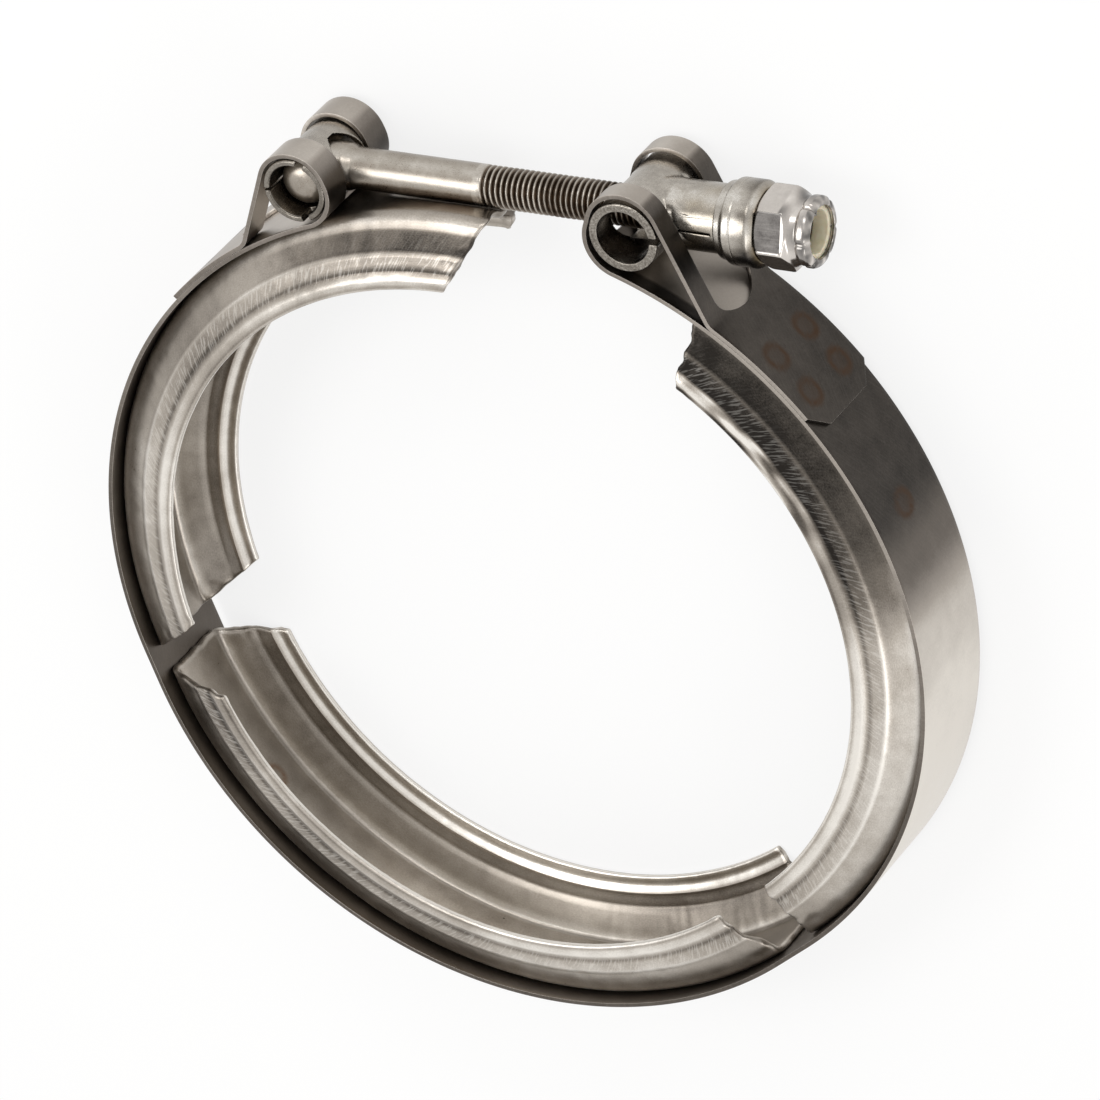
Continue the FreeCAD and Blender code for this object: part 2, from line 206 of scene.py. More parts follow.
# Makes the piece's modifiers real
def settle(piece):
    evaluated = piece.evaluated_get(bpy.context.evaluated_depsgraph_get())
    mesh = bpy.data.meshes.new_from_object(evaluated)
    piece.modifiers.clear()
    piece.data = mesh
    return piece


def combine(piece, others, operation):
    for other in others:
        addModifier(piece, "BOOLEAN", object=other, operation=operation, solver="EXACT")
        settle(piece)
        bpy.data.objects.remove(other)
    return piece


def faceOutward(piece):
    cleaner = bmesh.new()
    cleaner.from_mesh(piece.data)
    bmesh.ops.recalc_face_normals(cleaner, faces=cleaner.faces)
    cleaner.to_mesh(piece.data)
    cleaner.free()


def finishPiece(piece, body, material, nodes, place=None):
    if place is not None:
        piece.data.transform(place)
    piece.data.transform(Matrix.Scale(metresPerMm, 4))
    faceOutward(piece)
    piece.data.materials.clear()
    piece.data.materials.append(material)
    piece.data.shade_smooth()
    if body:
        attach(piece, body)
    if nodes:
        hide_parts(*nodes)
    return piece


# sRGB hex to the linear colour that the nodes want
def colour(code):
    parts = [int(code[place:place + 2], 16) / 255 for place in (1, 3, 5)]
    linear = [part / 12.92 if part <= 0.04045 else ((part + 0.055) / 1.055) ** 2.4
              for part in parts]
    return (*linear, 1.0)


def addNode(tree, kind, inputs=None, **settings):
    node = tree.nodes.new(kind)
    for key, value in settings.items():
        setattr(node, key, value)
    for socket, value in (inputs or {}).items():
        if isinstance(value, bpy.types.NodeSocket):
            tree.links.new(value, node.inputs[socket])
        else:
            node.inputs[socket].default_value = value
    return node


# The three nodes that the materials use most, each giving its output socket
def mathNode(tree, operation, *values, clamp=False):
    node = addNode(tree, "ShaderNodeMath", dict(enumerate(values)), operation=operation,
                   use_clamp=clamp)
    return node.outputs[0]


def noiseNode(tree, place, sizeMm, detail, roughness):
    node = addNode(tree, "ShaderNodeTexNoise", {
        "Vector": place, "Scale": 1 / sizeMm, "Detail": detail, "Roughness": roughness})
    return node.outputs[0]


def mixNode(tree, share, first, second):
    node = addNode(tree, "ShaderNodeMix", {"Factor": share, "A": first, "B": second},
                   data_type="RGBA")
    return node.outputs[2]


def newMaterial(name):
    material = bpy.data.materials.new(name)
    material.use_nodes = True
    material.node_tree.nodes.clear()
    return material, material.node_tree


def rampNode(tree, source, knots):
    node = addNode(tree, "ShaderNodeValToRGB", {0: source})
    elements = node.color_ramp.elements
    while len(elements) < len(knots):
        elements.new(0.5)
    for element, (place, shade) in zip(elements, knots):
        element.position = place
        element.color = shade
    return node.outputs[0]


def grey(value):
    return (value, value, value, 1.0)


# Worn stainless steel. Each piece's tone carries painted highlights and painted shade. The rest of
# its look
# comes from how the piece was made: dark and pale tarnish in broad clouds, a rolling or turning
# grain along one direction, rubbed scratches across it and small pits.
def steel(name, look):
    material, tree = newMaterial(name)
    if look["coordinates"] == "sheet":
        place = addNode(tree, "ShaderNodeUVMap", uv_map="sheetMm").outputs["UV"]
    else:
        source = addNode(tree, "ShaderNodeTexCoord").outputs["Object"]
        place = addNode(tree, "ShaderNodeVectorMath", {0: source, "Scale": 1 / metresPerMm},
                        operation="SCALE").outputs[0]
    clouds = noiseNode(tree, place, look["cloudMm"], 3.0, 0.55)
    blotches = noiseNode(tree, place, look["blotchMm"], 6.0, 0.65)
    grainPlace = addNode(tree, "ShaderNodeVectorMath", {0: place, 1: look["grainStretch"]},
                         operation="MULTIPLY").outputs[0]
    grain = noiseNode(tree, grainPlace, look["grainMm"], 4.0, 0.6)
    scratchPlace = addNode(tree, "ShaderNodeMapping", {
        "Vector": place, "Rotation": look["scratchTurn"], "Scale": look["scratchStretch"]},
        vector_type="TEXTURE").outputs[0]
    scratch = noiseNode(tree, scratchPlace, look["scratchMm"], 2.0, 0.5)
    scratchEdge = look["scratchCut"] + look["scratchFade"]
    scratch = rampNode(tree, scratch, [
        (0.0, grey(0)), (look["scratchCut"], grey(0)), (scratchEdge, grey(1)), (1.0, grey(1))])
    scuff = addNode(tree, "ShaderNodeAttribute", attribute_name="scuff").outputs["Fac"]
    scratch = mathNode(tree, "MULTIPLY", scratch, scuff)
    pits = addNode(tree, "ShaderNodeTexVoronoi", {
        "Vector": place, "Scale": 1 / look["pitSpacingMm"]})
    pitEdge = look["pitSize"] * look["pitFade"]
    pitDot = rampNode(tree, pits.outputs["Distance"], [
        (0.0, grey(1)), (look["pitSize"], grey(1)), (pitEdge, grey(0)), (1.0, grey(0))])
    pitKept = mathNode(tree, "LESS_THAN", pits.outputs["Color"], look["pitShare"])
    pit = mathNode(tree, "MULTIPLY", pitDot, pitKept)

    shade = addNode(tree, "ShaderNodeAttribute", attribute_name="tone").outputs["Fac"]
    for pattern, amount in ((clouds, "cloudAmount"), (blotches, "blotchAmount"),
                            (grain, "grainAmount")):
        shade = mathNode(tree, "MULTIPLY_ADD", pattern, look[amount], shade)
    middle = (look["cloudAmount"] + look["blotchAmount"] + look["grainAmount"]) / 2
    shade = mathNode(tree, "SUBTRACT", shade, middle, clamp=True)
    face = rampNode(tree, shade, [
        (0.0, colour(look["dark"])), (0.35, colour(look["dull"])), (0.7, colour(look["plain"])),
        (1.0, colour(look["pale"]))])
    shine = mathNode(tree, "MULTIPLY", scratch, look["scratchShine"])
    face = mixNode(tree, shine, face, colour(look["pale"]))
    tint = addNode(tree, "ShaderNodeAttribute", attribute_name="heatTint").outputs["Fac"]
    tint = mathNode(tree, "MULTIPLY", blotches, tint)
    tint = mathNode(tree, "MULTIPLY", tint, 2.0, clamp=True)
    face = mixNode(tree, tint, face, colour(look["heatTint"]))
    face = mixNode(tree, pit, face, colour(look["dark"]))

    smooth = look["roughness"] - look["roughSpread"] / 2
    rough = mathNode(tree, "MULTIPLY_ADD", blotches, look["roughSpread"], smooth)
    rough = mathNode(tree, "MULTIPLY_ADD", grain, look["roughSpread"], rough)
    height = mathNode(tree, "MULTIPLY", grain, look["grainHeight"])
    for pattern, amount in ((blotches, look["blotchHeight"]), (scratch, -look["scratchDepth"]),
                            (pit, -look["pitDepth"])):
        height = mathNode(tree, "MULTIPLY_ADD", pattern, amount, height)
    bump = addNode(tree, "ShaderNodeBump", {
        "Height": height, "Distance": metresPerMm, "Strength": 1.0})
    surface = addNode(tree, "ShaderNodeBsdfPrincipled", {
        "Base Color": face, "Metallic": 1.0, "Roughness": rough, "Normal": bump.outputs[0]})
    addNode(tree, "ShaderNodeOutputMaterial", {"Surface": surface.outputs[0]})
    return material


commonSteel = {
    "cloudMm": 22.0, "cloudAmount": 0.45, "blotchMm": 3.5, "blotchAmount": 0.3,
    "grainMm": 0.13, "grainStretch": (0.3, 1.0, 1.0), "grainAmount": 0.2,
    "scratchMm": 0.3, "scratchTurn": (0.0, 0.0, 0.5), "scratchStretch": (14.0, 1.0, 1.0),
    "scratchCut": 0.52, "scratchFade": 0.07, "scratchShine": 0.3, "scratchDepth": 0.003,
    "pitSpacingMm": 2.4, "pitSize": 0.04, "pitFade": 1.8, "pitShare": 0.12, "pitDepth": 0.02,
    "grainHeight": 0.003, "blotchHeight": 0.02, "roughness": 0.3, "roughSpread": 0.16,
    "dark": "#2b2825", "dull": "#6b645d", "plain": "#a9a198", "pale": "#e2dcd3",
    "heatTint": "#46382b", "coordinates": "sheet",
}

# Cold-rolled stainless strip: a fine grain along its length, dull and a little oxidised
rolledStrip = steel("rolledStainlessStrip", {
    **commonSteel, "cloudAmount": 0.28, "blotchAmount": 0.16, "roughness": 0.28,
    "heatTint": "#463528"})
# Roll-formed stainless channel: satin, with rubbed marks running round the ring
rollFormed = steel("rollFormedStainless", {
    **commonSteel, "dull": "#6f6860", "plain": "#aea69c", "pale": "#e8e3db",
    "grainStretch": (0.6, 1, 1), "grainAmount": 0.32, "grainMm": 0.18, "roughness": 0.24,
    "scratchTurn": (0.0, 0.0, 1.0), "scratchStretch": (9.0, 1.0, 1.0), "scratchShine": 0.28,
    "scratchMm": 0.28, "blotchHeight": 0.03, "heatTint": "#7a5a40"})
# Stainless sheet folded into barrels and sleeves: brighter, drawn along the fold
foldedSheet = steel("foldedStainlessSheet", {
    **commonSteel, "coordinates": "object", "cloudMm": 8.0, "cloudAmount": 0.3,
    "blotchMm": 1.4, "blotchAmount": 0.35, "grainStretch": (1, 1, 1), "grainMm": 0.16,
    "grainAmount": 0.4, "grainHeight": 0.006, "dull": "#756f67", "plain": "#b4aea5",
    "pale": "#efece6", "roughness": 0.2, "roughSpread": 0.12, "heatTint": "#7d6a45"})
# Cold-headed bolt with a rolled thread: semi-bright crests over brown, oily roots
threadRolled = steel("threadRolledSteel", {
    **commonSteel, "coordinates": "object", "cloudMm": 8.0, "cloudAmount": 0.25,
    "blotchMm": 1.8, "grainStretch": (0.5, 1, 1), "grainAmount": 0.3, "dark": "#2b221a",
    "dull": "#6f6255", "plain": "#aca59b", "pale": "#e6e1d9", "roughness": 0.22})
# Turned and crimped lock nut: bright turned faces with fine marks
turnedNut = steel("turnedNutSteel", {
    **commonSteel, "coordinates": "object", "cloudMm": 6.0, "cloudAmount": 0.2,
    "blotchMm": 1.2, "blotchAmount": 0.16, "blotchHeight": 0.003, "grainStretch": (1, 1, 1),
    "grainAmount": 0.16, "grainHeight": 0.001, "scratchTurn": (0.0, 0.0, 0.0), "pitShare": 0.0,
    "dark": "#211f1e", "dull": "#767370", "plain": "#b9b3ad", "pale": "#ece6df",
    "roughness": 0.14, "roughSpread": 0.1})


# Moulded nylon 6: ivory, waxy and slightly see-through at the surface
def ivoryNylonMaterial():
    material, tree = newMaterial("ivoryNylon")
    source = addNode(tree, "ShaderNodeTexCoord").outputs["Object"]
    cloudsPerMm = 0.9
    cloud = noiseNode(tree, source, metresPerMm / cloudsPerMm, 4.0, 0.5)
    shade = rampNode(tree, cloud, [
        (0.0, colour("#cfc3a2")), (0.5, colour("#e2d9be")), (1.0, colour("#efe8d3"))])
    bump = addNode(tree, "ShaderNodeBump", {
        "Height": cloud, "Distance": 0.05 * metresPerMm, "Strength": 0.6})
    surface = addNode(tree, "ShaderNodeBsdfPrincipled", {
        "Base Color": shade, "Roughness": 0.42, "IOR": 1.53, "Normal": bump.outputs[0],
        "Subsurface Weight": 0.15, "Subsurface Scale": 0.8 * metresPerMm})
    addNode(tree, "ShaderNodeOutputMaterial", {"Surface": surface.outputs[0]})
    return material


ivoryNylon = ivoryNylonMaterial()
print("materials made")

# Strap: both loops and tails. Angles are counted from the loop's foot, as the sheet was folded.
leftLoop = {
    "footAngle": 105.05, "innerRadius": 5.2, "rise": 0.7, "landingAngle": 12.3,
    "slotWidth": 8.0, "slotStartTurn": 18.0, "slotAngle": 16.5, "slotCorner": 4.0,
    "tailAngle": 29.0, "weldAngles": (22.7, 26.5),
}
rightLoop = {
    "footAngle": 75.96, "innerRadius": 5.55, "rise": 1.85, "landingAngle": 15.1,
    "slotWidth": 11.2, "slotStartTurn": 40.0, "slotAngle": 15.6, "slotCorner": 4.0,
    "tailAngle": 34.0, "weldAngles": (23.1, 29.3),
}
strapBuild = {
    "spare": 1.5,  # degrees cut off again where the halves meet
    "cutZone": 4.0,
    "landingBend": 3.0,
    "cornerLength": 3.0,
    "cornerWidth": 3.6,
    "spacing": 0.55,  # between rows along the sheet
    "turnStep": 5.0,
    "columns": 13,  # on each side of the strap's middle
    "slotParts": 12,  # rows along a slot's round end
    "cornerParts": 6,
    "rowGap": 0.15,  # plain rows keep this far from the slot's and the corners' rows
    "edgeRound": 0.2,
    "sharpAngle": 50.0,
    "weldHalfSpacing": 4.8,
    "weldDent": 0.07,
    "weldRadius": 1.5,
    "tintRing": 1.9,
    "tintWidth": 0.75,
    "tintCore": 0.3,
    "coreFade": (1.2, 2.6),
    "scuff": 0.03,
    "rimHighlight": 1.0,  # painted highlight on the rounded corners
    # painted shade on the strap's inner face
    "innerShade": 0.28,
    "shineEnd": 18.5,
    "shineTone": 0.6,
    "bandWeld": (27.3, 0.6),  # through the right arm's band into its retainer
}


def loopMoves(loop):
    loopBend = loop["innerRadius"] + ring["strapThickness"] / 2
    crest = Vector((0, strapMid + loopBend + loop["rise"], 0))
    landing = heading(90 + loop["landingAngle"]) * (tailMid + strapBuild["landingBend"])
    across = landing - crest
    lean = math.degrees(math.asin((loopBend + strapBuild["landingBend"]) / across.length))
    course = courseOf(across) % 360 + lean
    return [
        bend(loopBend, 90),
        straight(loop["rise"]),
        bend(loopBend, course - 90),
        straight(across.length * math.cos(math.radians(lean))),
        bend(strapBuild["landingBend"], 180 + loop["landingAngle"] - course),
        bend(tailMid, loop["tailAngle"] - loop["landingAngle"]),
    ]


def armMoves(toBend, opening, toFoot, loop):
    flat = 2 * strapMid * math.tan(math.radians(opening / 2))
    band = [bend(strapMid, toBend - opening / 2), straight(flat),
            bend(strapMid, toFoot - opening / 2)]
    return band + mirrored(loopMoves(loop))


# Rows with the slot's and the corners' curved ends drawn in even turns
def strapRows(moves, slotStart, slotEnd, loop):
    total = pathLength(moves)
    corner, parts = loop["slotCorner"], strapBuild["slotParts"]
    curved = [corner * (1 - math.cos(math.pi / 2 * part / parts)) for part in range(parts + 1)]
    zones = [(slotStart, slotStart + corner), (slotEnd - corner, slotEnd),
             (total - strapBuild["cornerLength"], total)]
    gap = strapBuild["rowGap"]
    rows = [distance for distance in stops(moves, strapBuild["spacing"], strapBuild["turnStep"])
            if not any(low - gap < distance < high + gap for low, high in zones)]
    rows += [slotStart + place for place in curved] + [slotEnd - place for place in curved]
    parts = strapBuild["cornerParts"]
    rows += [total - strapBuild["cornerLength"] * part / parts for part in range(parts + 1)]
    return sorted(rows)


# The halves meet flush at the bottom, with no rounded corner to show as a line
def cutAtBottom(piece, side):
    knife = bmesh.new()
    knife.from_mesh(piece.data)
    bottom = heading(bottomAngle) * strapMid
    faces = [face for face in knife.faces
             if (face.calc_center_median().xy - bottom.xy).length < strapBuild["cutZone"]]
    # Each edge and corner once, in an order that is the same on every run
    edges = dict.fromkeys(edge for face in faces for edge in face.edges)
    corners = dict.fromkeys(corner for face in faces for corner in face.verts)
    cut = bmesh.ops.bisect_plane(knife, geom=[*corners, *edges, *faces], plane_co=bottom,
                                 plane_no=heading(bottomAngle + 90 * side), clear_inner=True)
    rim = [part for part in cut["geom_cut"] if isinstance(part, bmesh.types.BMEdge)]
    bmesh.ops.holes_fill(knife, edges=rim)
    for edge in rim:
        edge.smooth = False
    knife.to_mesh(piece.data)
    knife.free()


def makeStrapHalf(name, side, loop, toBend, toFoot, opening, swingOpen):
    moves = armMoves(toBend + strapBuild["spare"], opening, toFoot, loop)
    if side == leftSide:
        moves = mirrored(moves)
    spare = strapBuild["spare"]
    start = (heading(bottomAngle - side * spare) * strapMid, bottomAngle + side * (90 - spare))
    loopBend = loop["innerRadius"] + ring["strapThickness"] / 2
    slotStart = pathLength(moves[:3]) + loopBend * math.radians(loop["slotStartTurn"])
    slotOnTail = loop["slotAngle"] - loop["landingAngle"]
    slotEnd = pathLength(moves[:-1]) + tailMid * math.radians(slotOnTail)
    total = pathLength(moves)
    corner = loop["slotCorner"]
    columns = strapBuild["columns"]

    def slotHalfWidth(distance):
        inside = min(distance - slotStart, slotEnd - distance)
        if inside <= 0.001:
            return 0.0
        return loop["slotWidth"] / 2 * math.sqrt(1 - max(0.0, 1 - inside / corner) ** 2)

    def edge(distance):
        length = strapBuild["cornerLength"]
        beyond = max(0.0, distance - (total - length))
        return ring["strapWidth"] / 2 - strapBuild["cornerWidth"] * beyond / length

    vertices, uvs, rows = [], [], []
    for distance in strapRows(moves, slotStart, slotEnd, loop):
        place, course = pathAt(start, moves, distance)
        gap, outer = slotHalfWidth(distance), edge(distance)
        row = {}
        for face in (-1, 1):
            for column in range(columns + 1):
                width = face * (gap + (outer - gap) * column / columns)
                if column == 0 and gap == 0 and face == 1:
                    row[face, 0] = row[-1, 0]
                    continue
                row[face, column] = len(vertices)
                vertices.append(place + ringAxis * width)
                uvs.append(((distance - strapMid * math.radians(spare)) * side, width))
        rows.append(row)
    faces = []
    for row, following in zip(rows, rows[1:]):
        for face in (-1, 1):
            for column in range(columns):
                corners = [row[face, column], row[face, column + 1],
                           following[face, column + 1], following[face, column]]
                faces.append(corners if face == 1 else corners[::-1])
    piece = makePiece(name, vertices, faces, uvs)
    addModifier(piece, "SOLIDIFY", thickness=ring["strapThickness"], offset=0.0,
                use_even_offset=True)
    # The bevel's faces take the second material slot, so that dressStrap knows the rounded corners,
    # which get a painted highlight
    piece.data.materials.append(None)
    piece.data.materials.append(None)
    addModifier(piece, "BEVEL", width=strapBuild["edgeRound"], segments=2, limit_method="ANGLE",
                angle_limit=math.radians(strapBuild["sharpAngle"]), material=1)
    settle(piece)
    cutAtBottom(piece, side)

    welds = []
    for angle in loop["weldAngles"]:
        for face in (-1, 1):
            outside = tailMid + ring["strapThickness"] / 2
            spot = heading(loop["footAngle"] - side * angle) * outside
            welds.append(swingOpen(spot + ringAxis * face * strapBuild["weldHalfSpacing"]))
    return piece, welds


def dressStrap(piece, welds, hinge, loopAxis, loop, side, loopLight):
    tint, tones = [], []
    bendAngle = ring["leftBendAngle"] if side == leftSide else ring["rightBendAngle"]
    opening = -ring["leftOpening"] if side == leftSide else ring["rightOpening"]
    upArm = heading(bendAngle + 90 * side)
    onBevel = [True] * len(piece.data.vertices)
    for polygon in piece.data.polygons:
        if polygon.material_index == 0:
            for index in polygon.vertices:
                onBevel[index] = False
        polygon.material_index = 0
    for vertex in piece.data.vertices:
        point = vertex.co.copy()
        closed = swing(point, hinge, opening) if (point - hinge).dot(upArm) > 0 else point
        radius = closed.xy.length
        nearest = min((point - weld).length for weld in welds)
        ringShare = abs(nearest - strapBuild["tintRing"]) / strapBuild["tintWidth"]
        outside = radius > ring["strapRadius"] - 0.2
        core = strapBuild["tintCore"] * (1 - between(nearest, *strapBuild["coreFade"]))
        tint.append(max(core, max(0.0, 1 - ringShare) ** 0.7) if outside else 0.0)
        if nearest < strapBuild["weldRadius"] and outside:
            depth = strapBuild["weldDent"] * (1 - (nearest / strapBuild["weldRadius"]) ** 2) ** 2
            vertex.co = point - point.normalized() * depth
        angle = (courseOf(point) - 90) % 360
        fromLoop = point - loopAxis
        # The rounded corners get a painted highlight
        if onBevel[vertex.index]:
            tones.append(strapBuild["rimHighlight"])
        elif abs(point.z) > ring["strapWidth"] / 2 - 0.01:
            tones.append(graded(angle, edgeTones))
        elif radius > tailMid + 1 or fromLoop.xy.length < loop["innerRadius"] + 1:
            tones.append(graded(courseOf(fromLoop) % 360, loopLight))
        # The strap's inner face gets painted shade
        elif radius < ring["strapRadius"] - 0.35:
            tones.append(strapBuild["innerShade"])
        else:
            # The band keeps its shine where only the tail's slot shows it
            underSlot = (radius < ring["strapRadius"] + 0.02
                         and abs(point.z) < loop["slotWidth"] / 2 + 1)
            fromFoot = abs(courseOf(closed) - loop["footAngle"])
            tone = graded(angle, strapReflectionTones)
            if underSlot and fromFoot < strapBuild["shineEnd"]:
                tone = max(tone, strapBuild["shineTone"])
            tones.append(tone)
    setRow(piece, "heatTint", tint)
    setRow(piece, "tone", tones)
    setValues(piece, "scuff", lambda point: strapBuild["scuff"])


# Painted reflection, pale and dark, round the ring, counted anticlockwise from the top
strapReflectionTones = [(0, 0.5), (18, 0.75), (45, 0.6), (80, 0.35), (150, 0.35), (190, 0.25), (205, 0.3),
              (222, 0.9), (245, 1.1), (262, 1.0), (277, 0.86), (287, 0.34), (294, 0.06), (310, 0.1),
              (322, 0.12), (335, 0.12), (350, 0.4), (360, 0.5)]
# The sheared edge gets a painted highlight on the right arm and is darker below
edgeTones = [(0, 0.45), (20, 0.45), (55, 0.4), (90, 0.25), (250, 0.25), (275, 0.45), (290, 0.62),
             (325, 0.62), (338, 0.45), (360, 0.45)]
# Painted light and shade round each loop: pale where it faces up and to the left, dark where it
# faces right. Counted anticlockwise from its right side
leftLoopLight = [(0, 0.15), (25, 0.3), (50, 0.5), (62, 0.75), (100, 0.7), (140, 0.85), (180, 0.7),
                 (215, 0.8), (260, 0.8), (300, 0.5), (360, 0.15)]
rightLoopLight = [(0, 0.1), (35, 0.16), (52, 0.28), (60, 0.66), (95, 0.76), (135, 0.6), (180, 0.45),
                  (250, 0.3), (300, 0.15), (360, 0.1)]
leftStrap, leftWelds = makeStrapHalf(
    "strapLeftHalf", leftSide, leftLoop, bottomAngle - ring["leftBendAngle"],
    ring["leftBendAngle"] - leftLoop["footAngle"], ring["leftOpening"], openLeft)
dressStrap(leftStrap, leftWelds, leftHinge, leftAxis, leftLoop, leftSide, leftLoopLight)
finishPiece(leftStrap, None, rolledStrip, ["band_strap"])
rightStrap, rightWelds = makeStrapHalf(
    "strapRightHalf", rightSide, rightLoop, ring["rightBendAngle"] - bottomAngle,
    rightLoop["footAngle"] + 360 - ring["rightBendAngle"], ring["rightOpening"], openRight)
bandAngle, bandHeight = strapBuild["bandWeld"]
rightWelds.append(openRight(heading(bandAngle) * ring["strapRadius"] + ringAxis * bandHeight))
dressStrap(rightStrap, rightWelds, rightHinge, rightAxis, rightLoop, rightSide, rightLoopLight)
finishPiece(rightStrap, None, rolledStrip, ["band_strap"])
print("strap made")

# Retainers: one roll-formed section, sheared off on a slant at both ends
channel = {
    "sheet": 1.0,
    "seatGap": 0.05,
    "baseHalfWidth": 6.4,
    "wall": (5.65, 2.8),  # depth towards the axis, spread sideways
    "shoulder": (1.9, 0.8),
    "lipSpread": 0.42,
    "flangeRadius": 53.8,
    "baseBend": 1.6,
    "lipBend": 1.0,
    "spacing": 0.5,
    "turnStep": 12.0,
    "angleStep": 0.5,
    # Distance from an edge, share of the thickness
    "rimSteps": ((0.0, 0.4), (0.08, 0.75), (0.25, 1.0)),
    # The rolls leave a ridge, a groove and a bulged lip: distance from the middle, height
    "formed": ((0, 0.0), (11.6, 0.0), (12.3, 0.12), (13.0, 0.0), (14.0, -0.1), (14.6, -0.3),
               (15.1, -0.1), (16.0, 0.2), (16.9, 0.0), (20, 0.0)),
    # The sheet sags a little everywhere, more on the lips and most at its crumpled ends
    "sagLong": 0.1,
    "sagShort": 0.05,
    "lipSag": 0.04,
    "lipZone": (14.6, 16.5),
    "crumple": 0.3,
    "crumpleReach": (0.5, 5.0),  # degrees from an end
    "crumpleZone": (5.5, 8.0),
}
retainerEnds = {
    "left": {"lip": (85.2, 187.9), "base": (79.2, 193.2), "ragged": (0.6, 0.3)},
    "lower": {"lip": (200.4, 305.2), "base": (196.0, 308.0), "ragged": (0.4, 0.6)},
    "right": {"lip": (316.3, 421.2), "base": (313.4, 424.2), "ragged": (0.3, 1.0)},
}
trough = {"gap": 0.3, "shankRadius": 3.175}


def movesThrough(corners, radii):
    moves, used = [], 0.0
    for index, radius in enumerate(radii, start=1):
        arriving = corners[index] - corners[index - 1]
        leaving = corners[index + 1] - corners[index]
        turn = courseOf(leaving) - courseOf(arriving)
        tangent = radius * math.tan(math.radians(abs(turn)) / 2)
        moves += [straight(arriving.length - used - tangent), bend(radius, turn)]
        used = tangent
    return moves + [straight(leaving.length - used)]


# The section as (radius, width, distance from its middle, inside), once round the sheet.
# Each point's partner across the sheet stands at the same place from the list's other end.
def channelOutline():
    base = ring["strapRadius"] - ring["strapThickness"] - channel["seatGap"] - channel["sheet"] / 2
    half = [(base, channel["baseHalfWidth"])]
    for depth, spread in (channel["wall"], channel["shoulder"]):
        half.append((half[-1][0] - depth, half[-1][1] + spread))
    half.append((channel["flangeRadius"] + 0.05, half[-1][1] + channel["lipSpread"]))
    corners = [Vector((radius, -width, 0)) for radius, width in half[::-1]]
    corners += [Vector((radius, width, 0)) for radius, width in half]
    bends = [channel["lipBend"], channel["lipBend"], channel["baseBend"]]
    moves = movesThrough(corners, bends + bends[::-1])
    start = (corners[0], courseOf(corners[1] - corners[0]))
    total = pathLength(moves)
    rim = channel["rimSteps"][-1][0]
    places = [(distance, share) for distance, share in channel["rimSteps"]]
    places += [(distance, 1.0) for distance in stops(moves, channel["spacing"], channel["turnStep"])
               if rim + 0.1 < distance < total - rim - 0.1]
    places += [(total - distance, share) for distance, share in channel["rimSteps"][::-1]]
    outer, inner = [], []
    for distance, share in places:
        place, course = pathAt(start, moves, distance)
        aside = heading(course + 90)
        middle = place - aside * graded(abs(distance - total / 2), channel["formed"])
        for row, hand in ((outer, -1), (inner, 1)):
            spot = middle + aside * hand * share * channel["sheet"] / 2
            row.append((spot.x, spot.y, distance - total / 2, 0.0 if hand < 0 else 1.0))
    return outer + inner[::-1]


def endAngle(radius, width, lipAngle, baseAngle, ragged, seed):
    inner = heading(lipAngle) * channel["flangeRadius"]
    outer = heading(baseAngle) * ring["strapRadius"]
    share = (radius - channel["flangeRadius"]) / (ring["strapRadius"] - channel["flangeRadius"])
    spot = inner + (outer - inner) * share
    wobble = noise.noise(Vector((radius * 0.45, width * 0.4, seed)))
    wobble += 0.3 * noise.noise(Vector((radius * 1.1, width * 1.1, seed + 3)))
    return courseOf(spot) % 360 + math.degrees(ragged * wobble / radius)


def makeRetainer(name, ends, seed, swingOpen, relief):
    outline = channelOutline()
    count = len(outline)
    limits = []
    for radius, width, along, inner in outline:
        first = endAngle(radius, width, ends["lip"][0], ends["base"][0], ends["ragged"][0], seed)
        last = endAngle(radius, width, ends["lip"][1], ends["base"][1], ends["ragged"][1], seed + 9)
        limits.append((first, last + 360 if last < first else last))
    inset = channel["rimSteps"][-1][0]
    steps = round((ends["base"][1] - ends["base"][0]) / channel["angleStep"])
    rows = [(0.0, distance, share) for distance, share in channel["rimSteps"][:-1]]
    rows += [(index / steps, inset * (1 - 2 * index / steps), 1.0) for index in range(steps + 1)]
    rows += [(1.0, -distance, share) for distance, share in channel["rimSteps"][-2::-1]]
    vertices, uvs, inside, zone = [], [], [], []
    for travel, shift, share in rows:
        ringRow = []
        for (radius, width, along, inner), (first, last) in zip(outline, limits):
            angle = first + (last - first) * travel + math.degrees(shift / radius)
            fromEnd = min(travel, 1 - travel) * (last - first)
            crumple = (channel["crumple"] * (1 - between(fromEnd, *channel["crumpleReach"]))
                       * between(abs(along), *channel["crumpleZone"]))
            crumple += channel["lipSag"] * between(abs(along), *channel["lipZone"])
            sag = (channel["sagLong"] * noise.noise(Vector((angle * 0.12, width * 0.2, seed)))
                   + channel["sagShort"] * noise.noise(Vector((angle * 0.8, width * 0.5, seed)))
                   + crumple * noise.noise(Vector((angle * 0.5, abs(along) * 0.35, seed + width))))
            spot = heading(angle) * radius + ringAxis * width
            spot -= (heading(angle) * 0.3 + ringAxis * math.copysign(1.0, width)) * max(0.0, sag)
            ringRow.append(relief(swingOpen(spot), inner))
            uvs.append((math.radians(angle) * channel["flangeRadius"], along + 60 * inner))
            inside.append(inner)
            zone.append(along)
        for place, point in enumerate(ringRow):
            middle = (point + ringRow[count - 1 - place]) / 2
            vertices.append(middle + (point - middle) * share)
    faces = []
    for index in range(len(rows) - 1):
        low, high = index * count, (index + 1) * count
        for place in range(count):
            beside = (place + 1) % count
            faces.append((low + place, low + beside, high + beside, high + place))
    for low in (0, (len(rows) - 1) * count):
        for place in range(count // 2 - 1):
            faces.append((low + place, low + place + 1,
                          low + count - 2 - place, low + count - 1 - place))
    return makePiece(name, vertices, faces, uvs, {"inside": inside, "along": zone})


def noRelief(point, inner):
    return point


